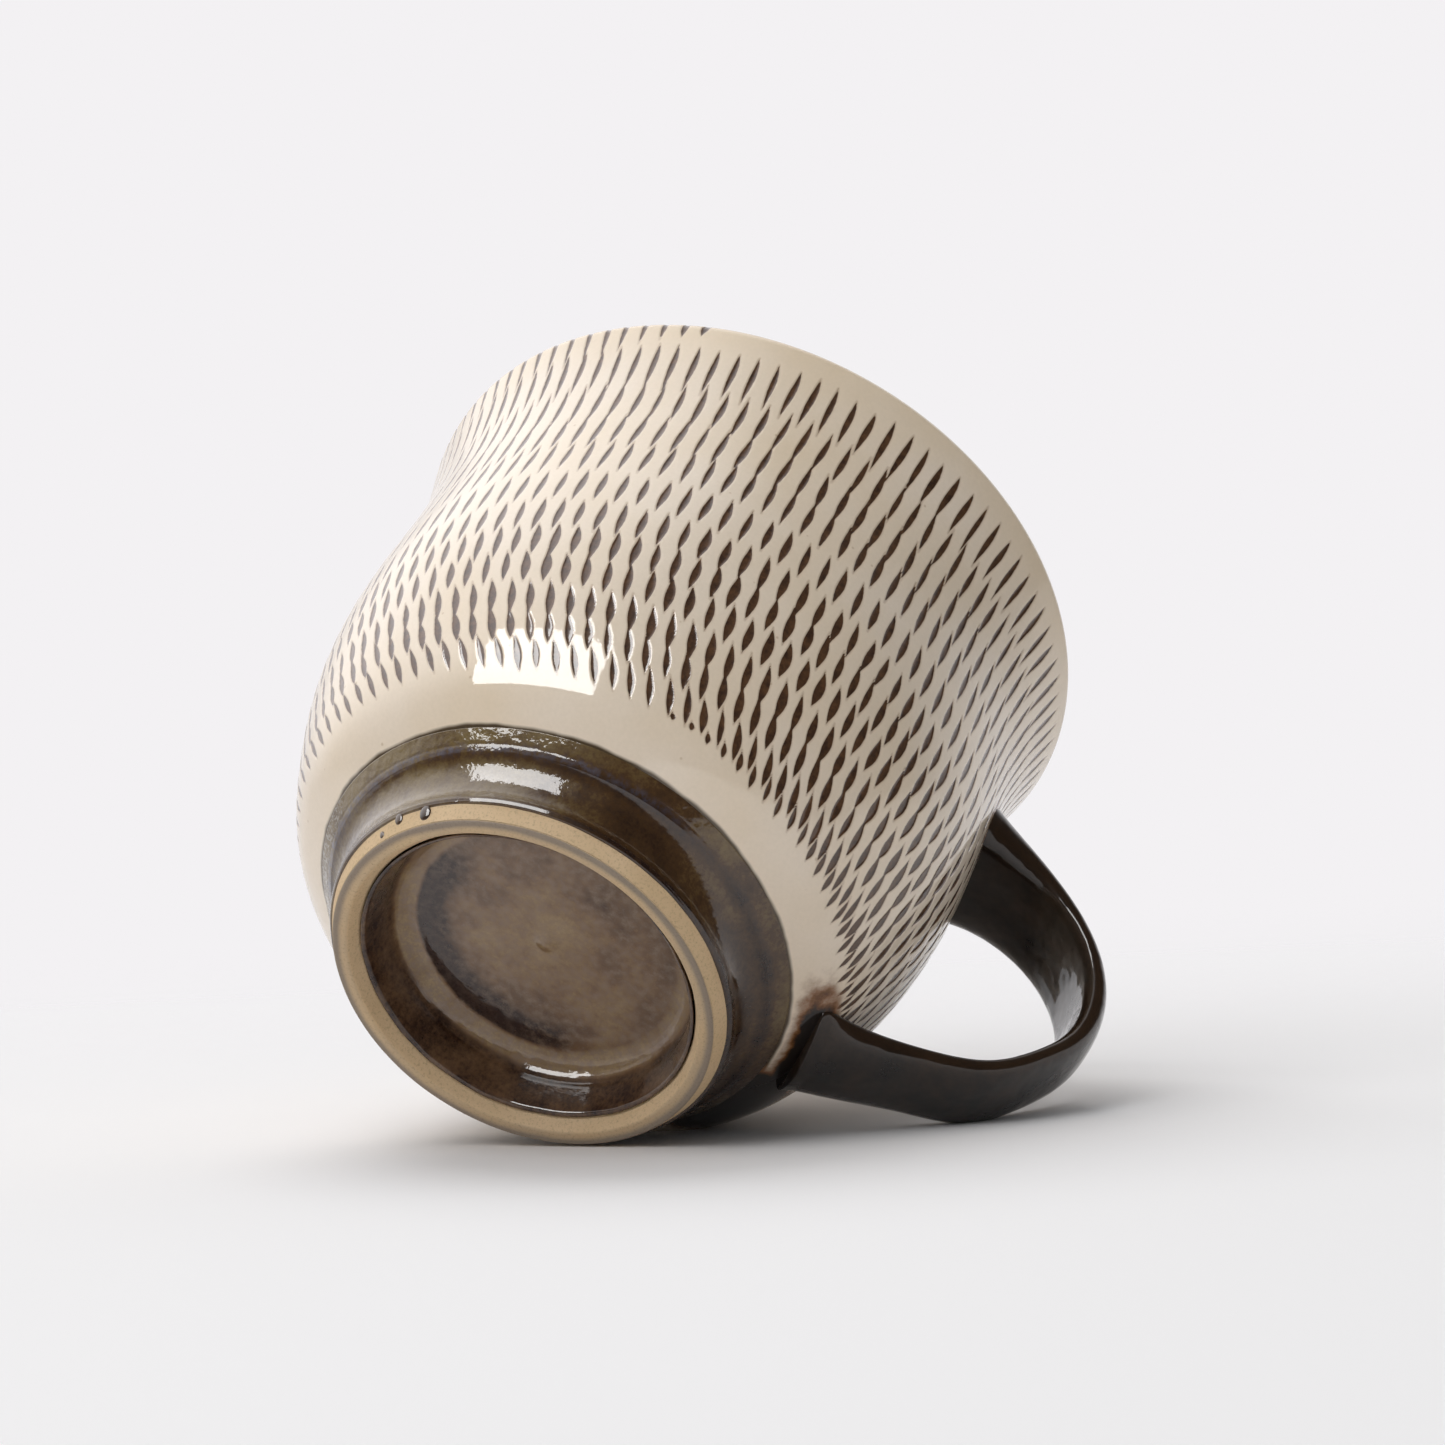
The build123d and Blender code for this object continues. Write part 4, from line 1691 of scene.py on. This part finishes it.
@dataclass(frozen=True)
class Studio:
    """Camera, lamps and floor. Directions are the camera's right, up and back.

    Attributes:
        right: the camera's right in the row frame.
        up: the camera's up in the row frame.
        place: where the camera stands, in millimetres.
        reach: focal length, as a multiple of the frame's width.
        sensor: width of the camera's sensor, in millimetres.
        subject: what the lamps are turned to, in millimetres.
        box_spread: width of a softbox, as a share of its distance.
        box_distance: how far away the softboxes stand, in metres.
        mirrored_nearer: share of that distance at which the mirrored ones stand.
        glow: direction of the bright wall.
        sheen: how bright it is in reflections.
        dark_side: how bright reflections are where the backdrop has ended.
        room: light from the side away from the bright wall, and from its own side.
        tilt: how far the floor's normal leans towards the camera, in degrees.
        roll: how far it leans to the right, in degrees.
        floor_middle: what the floor is centred under, in millimetres.
        floor_half: half the floor's side, in metres.
        fade_behind: distances behind the middle between which it fades, in metres.
        fade_out: distances from the middle between which it fades, in metres.
        backdrop: colour of the backdrop.
        floor_colour: colour of the floor.
    """

    right: Vector = Vector((0.8660, -0.3587, 0.3483))
    up: Vector = Vector((-0.4999, -0.6326, 0.5915))
    place: Vector = Vector((14.6, -804.8, -792.7))
    reach: float = 9000.0 / 1445.0
    sensor: float = 36.0
    subject: Vector = Vector((5.0, 0.0, 38.0))
    box_spread: float = 0.74
    box_distance: float = 1.5
    mirrored_nearer: float = 0.9
    glow: Vector = Vector((-0.58, 0.70, -0.42))
    sheen: float = 2.3
    dark_side: float = 0.04
    room: tuple[float, float] = (0.14, 0.74)
    tilt: float = 4.0
    roll: float = -2.75
    floor_middle: Vector = Vector((30.0, 0.0, 20.0))
    floor_half: float = 1.2
    fade_behind: tuple[float, float] = (0.05, 0.30)
    fade_out: tuple[float, float] = (0.35, 0.9)
    backdrop: str = "#F3F1F3"
    floor_colour: str = "#F4F3F4"

    def axes(self) -> Matrix:
        """Right, up and back as the columns of a rotation."""
        right = self.right.normalized()
        up = (self.up - self.up.dot(right) * right).normalized()
        return Matrix((right, up, right.cross(up))).transposed()

    def add_camera(self) -> None:
        """Makes the camera at the mug's front, below its foot."""
        data = bpy.data.cameras.new("camera")
        data.sensor_width = self.sensor
        data.lens = self.sensor * self.reach
        data.clip_start = 0.05
        data.clip_end = 20.0
        camera = bpy.data.objects.new("camera", data)
        camera.matrix_world = Matrix.Translation(self.place * MM) @ self.axes().to_4x4()
        bpy.context.scene.collection.objects.link(camera)
        bpy.context.scene.camera = camera

    def add_lamp(
        self,
        name: str,
        towards: tuple[float, float, float],
        radiance: float,
        mirrored: bool,
        roll: float = 0.0,
    ) -> None:
        """Makes a square softbox that faces the mug.

        Args:
            name: the lamp's name.
            towards: direction from the mug, as right, up and back of the camera.
            radiance: how bright its face is, where white paper in plain light is 1.
            mirrored: whether it shows only in reflections, or else lights only matt paint.
            roll: degrees by which its face is turned.
        """
        middle = self.subject * MM
        back = (self.axes() @ Vector(towards)).normalized()
        data = bpy.data.lights.new(name, "AREA")
        data.shape = "SQUARE"
        distance = self.box_distance * (self.mirrored_nearer if mirrored else 1.0)
        data.size = self.box_spread * distance
        data.energy = radiance * math.pi * data.size**2
        lamp = bpy.data.objects.new(name, data)
        right = (self.axes() @ Vector((0.0, 1.0, 0.0))).cross(back).normalized()
        turn = Matrix((right, back.cross(right), back)).transposed().to_4x4()
        turn = turn @ Matrix.Rotation(math.radians(roll), 4, "Z")
        lamp.matrix_world = Matrix.Translation(middle + back * distance) @ turn
        lamp.visible_diffuse = not mirrored
        lamp.visible_glossy = mirrored
        bpy.context.scene.collection.objects.link(lamp)

    def add_world(self) -> None:
        """Room light, and the pale backdrop that the camera and the reflections see.

        The backdrop ends to the right of the mug and behind the camera, so the glazes
        look deep there. A bright wall above it on the left gives them their sheen.
        """
        world = bpy.data.worlds.new("studio")
        r = Recipe(world)
        view = r.add("TexCoord").outputs["Generated"]
        glow = self.axes() @ self.glow.normalized()
        lit = r.add("VectorMath", {0: view, 1: glow}, operation="DOT_PRODUCT").outputs["Value"]
        behind = self.axes() @ Vector((0.0, 0.0, -1.0))
        card = r.add("VectorMath", {0: view, 1: behind}, operation="DOT_PRODUCT").outputs["Value"]
        wall = r.add("MapRange", {"Value": card, 1: 0.30, 2: 0.75, 3: self.dark_side, 4: 1.0})
        sheen = r.add(
            "MapRange",
            {"Value": lit, 1: 0.45, 2: 1.0, 3: 0.0, 4: self.sheen},
            interpolation_type="SMOOTHSTEP",
        )
        shown = r.add("Math", {0: wall.outputs[0], 1: sheen.outputs[0]}, operation="MAXIMUM")
        dim, bright = self.room
        room = r.add("MapRange", {"Value": lit, 1: -1.0, 2: 1.0, 3: dim, 4: bright})
        path = r.add("LightPath")
        mirrored = r.add(
            "Math",
            {0: path.outputs["Is Glossy Ray"], 1: path.outputs["Is Transmission Ray"]},
            operation="MAXIMUM",
        )
        light = r.add("Background", {"Strength": room.outputs[0]})
        reflection = r.add(
            "Background", {"Color": linear(self.backdrop), "Strength": shown.outputs[0]}
        )
        backdrop = r.add("Background", {"Color": linear(self.backdrop)})
        inner = r.add(
            "MixShader", {0: mirrored.outputs[0], 1: light.outputs[0], 2: reflection.outputs[0]}
        )
        outer = r.add(
            "MixShader",
            {0: path.outputs["Is Camera Ray"], 1: inner.outputs[0], 2: backdrop.outputs[0]},
        )
        r.add("OutputWorld", {"Surface": outer.outputs[0]})
        bpy.context.scene.world = world

    def floor_normal(self) -> Vector:
        """Up from the floor: the camera's up, tilted towards it and rolled."""
        tilt, roll = math.radians(self.tilt), math.radians(self.roll)
        return (self.axes() @ Vector((math.tan(roll), math.cos(tilt), math.sin(tilt)))).normalized()

    @staticmethod
    def reach_along(direction: Vector, node: str) -> float:
        """How far the node's solid reaches along the direction, taken at its lowest point.

        Args:
            direction: a unit vector in the row frame.
            node: a name in the frame.

        Returns:
            The smallest distance from the origin along the direction, in metres.
        """
        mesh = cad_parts[node].data
        flat = np.empty(3 * len(mesh.vertices), dtype=np.float32)
        mesh.vertices.foreach_get("co", flat)
        return float((flat.reshape(-1, 3) @ np.array(direction)).min())

    def add_floor(self) -> None:
        """Pale floor, level with the lowest point of the foot ring and the handle.

        The wall bellies 0.8 mm further down, so the floor cuts it there. The floor fades
        away behind the mug and is clear from below.
        """
        normal = self.floor_normal()
        lowest = min(self.reach_along(normal, node) for node in ("foot_ring", "pulled_handle"))
        right = self.axes() @ Vector((1.0, 0.0, 0.0))
        right = (right - right.dot(normal) * normal).normalized()
        ahead = normal.cross(right)
        middle = self.floor_middle * MM
        middle = middle - (middle.dot(normal) - lowest) * normal
        half = self.floor_half
        mesh = bpy.data.meshes.new("floor")
        corners = [(-half, -half, 0.0), (half, -half, 0.0), (half, half, 0.0), (-half, half, 0.0)]
        mesh.from_pydata(corners, [], [(0, 1, 2, 3)])
        r = Recipe.of_material("pale_paper_floor")
        place = r.add("TexCoord").outputs["Object"]
        parts = r.add("SeparateXYZ", {0: place})
        behind = r.add(
            "MapRange",
            {
                "Value": parts.outputs["Y"],
                1: self.fade_behind[0],
                2: self.fade_behind[1],
                3: 0.0,
                4: 1.0,
            },
            interpolation_type="SMOOTHSTEP",
        ).outputs["Result"]
        spread = r.add("VectorMath", {0: place}, operation="LENGTH").outputs["Value"]
        far = r.add(
            "MapRange",
            {"Value": spread, 1: self.fade_out[0], 2: self.fade_out[1], 3: 0.0, 4: 1.0},
            interpolation_type="SMOOTHSTEP",
        ).outputs["Result"]
        faded = r.add("Math", {0: behind, 1: far}, operation="MAXIMUM").outputs[0]
        clear = r.add(
            "Math",
            {0: faded, 1: r.add("NewGeometry").outputs["Backfacing"]},
            operation="MAXIMUM",
        ).outputs[0]
        paper = r.add("BsdfDiffuse", {"Color": linear(self.floor_colour)})
        surface = r.add(
            "MixShader",
            {0: clear, 1: paper.outputs[0], 2: r.add("BsdfTransparent").outputs[0]},
        )
        mesh.materials.append(r.done(surface.outputs[0]))
        floor = bpy.data.objects.new("floor", mesh)
        turn = Matrix((right, ahead, normal)).transposed().to_4x4()
        floor.matrix_world = Matrix.Translation(middle) @ turn
        bpy.context.scene.collection.objects.link(floor)

    def build(self) -> None:
        """Sets up everything that isn't the mug."""
        self.add_camera()
        self.add_world()
        self.add_lamp("key", (-0.45, 0.68, 0.55), radiance=1.95, mirrored=False)
        self.add_lamp("top", (-0.22, 0.88, -0.35), radiance=2.2, mirrored=False)
        self.add_lamp("key_shine", (-0.48, 0.68, 0.55), radiance=9.0, mirrored=True, roll=6.0)
        self.add_floor()
        bpy.context.scene.view_settings.view_transform = "Standard"


def dress_core(finish: bpy.types.Material) -> None:
    """Gives the thrown clay core, which the coats hide, its own bare clay."""
    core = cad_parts["thrown_cup"]
    core.data.materials.clear()
    core.data.materials.append(finish)


def main() -> None:
    """Builds the mug's skins, its finishes and the studio, in that order."""
    logging.basicConfig(level=logging.INFO, format="%(name)s: %(message)s")
    sizes = CupSizes.from_frame()
    slip = SlippedWallFinish().build()
    brown = BrownGlazeFinish().build()
    pooled = BrownGlazeFinish(
        thin="#9C8460", middle="#74583F", thick="#29130A", milk="#8A7460", name="pooled_iron_glaze"
    ).build()
    clay = BareClayFinish().build()
    black = BlackGlazeFinish().build()
    SlippedWall(sizes).build(slip)
    GlazedInside(sizes).build(slip)
    foot = TurnedFoot(sizes)
    foot.build_ring(clay)
    foot.build_band(brown)
    foot.build_drops(brown)
    foot.build_recess(pooled)
    PulledHandle(sizes).build(black)
    dress_core(clay)
    Studio().build()
    LOG.info("marks cut: %d", len(ChatterMarks().centres()[0]))


if __name__ == "__main__":
    main()
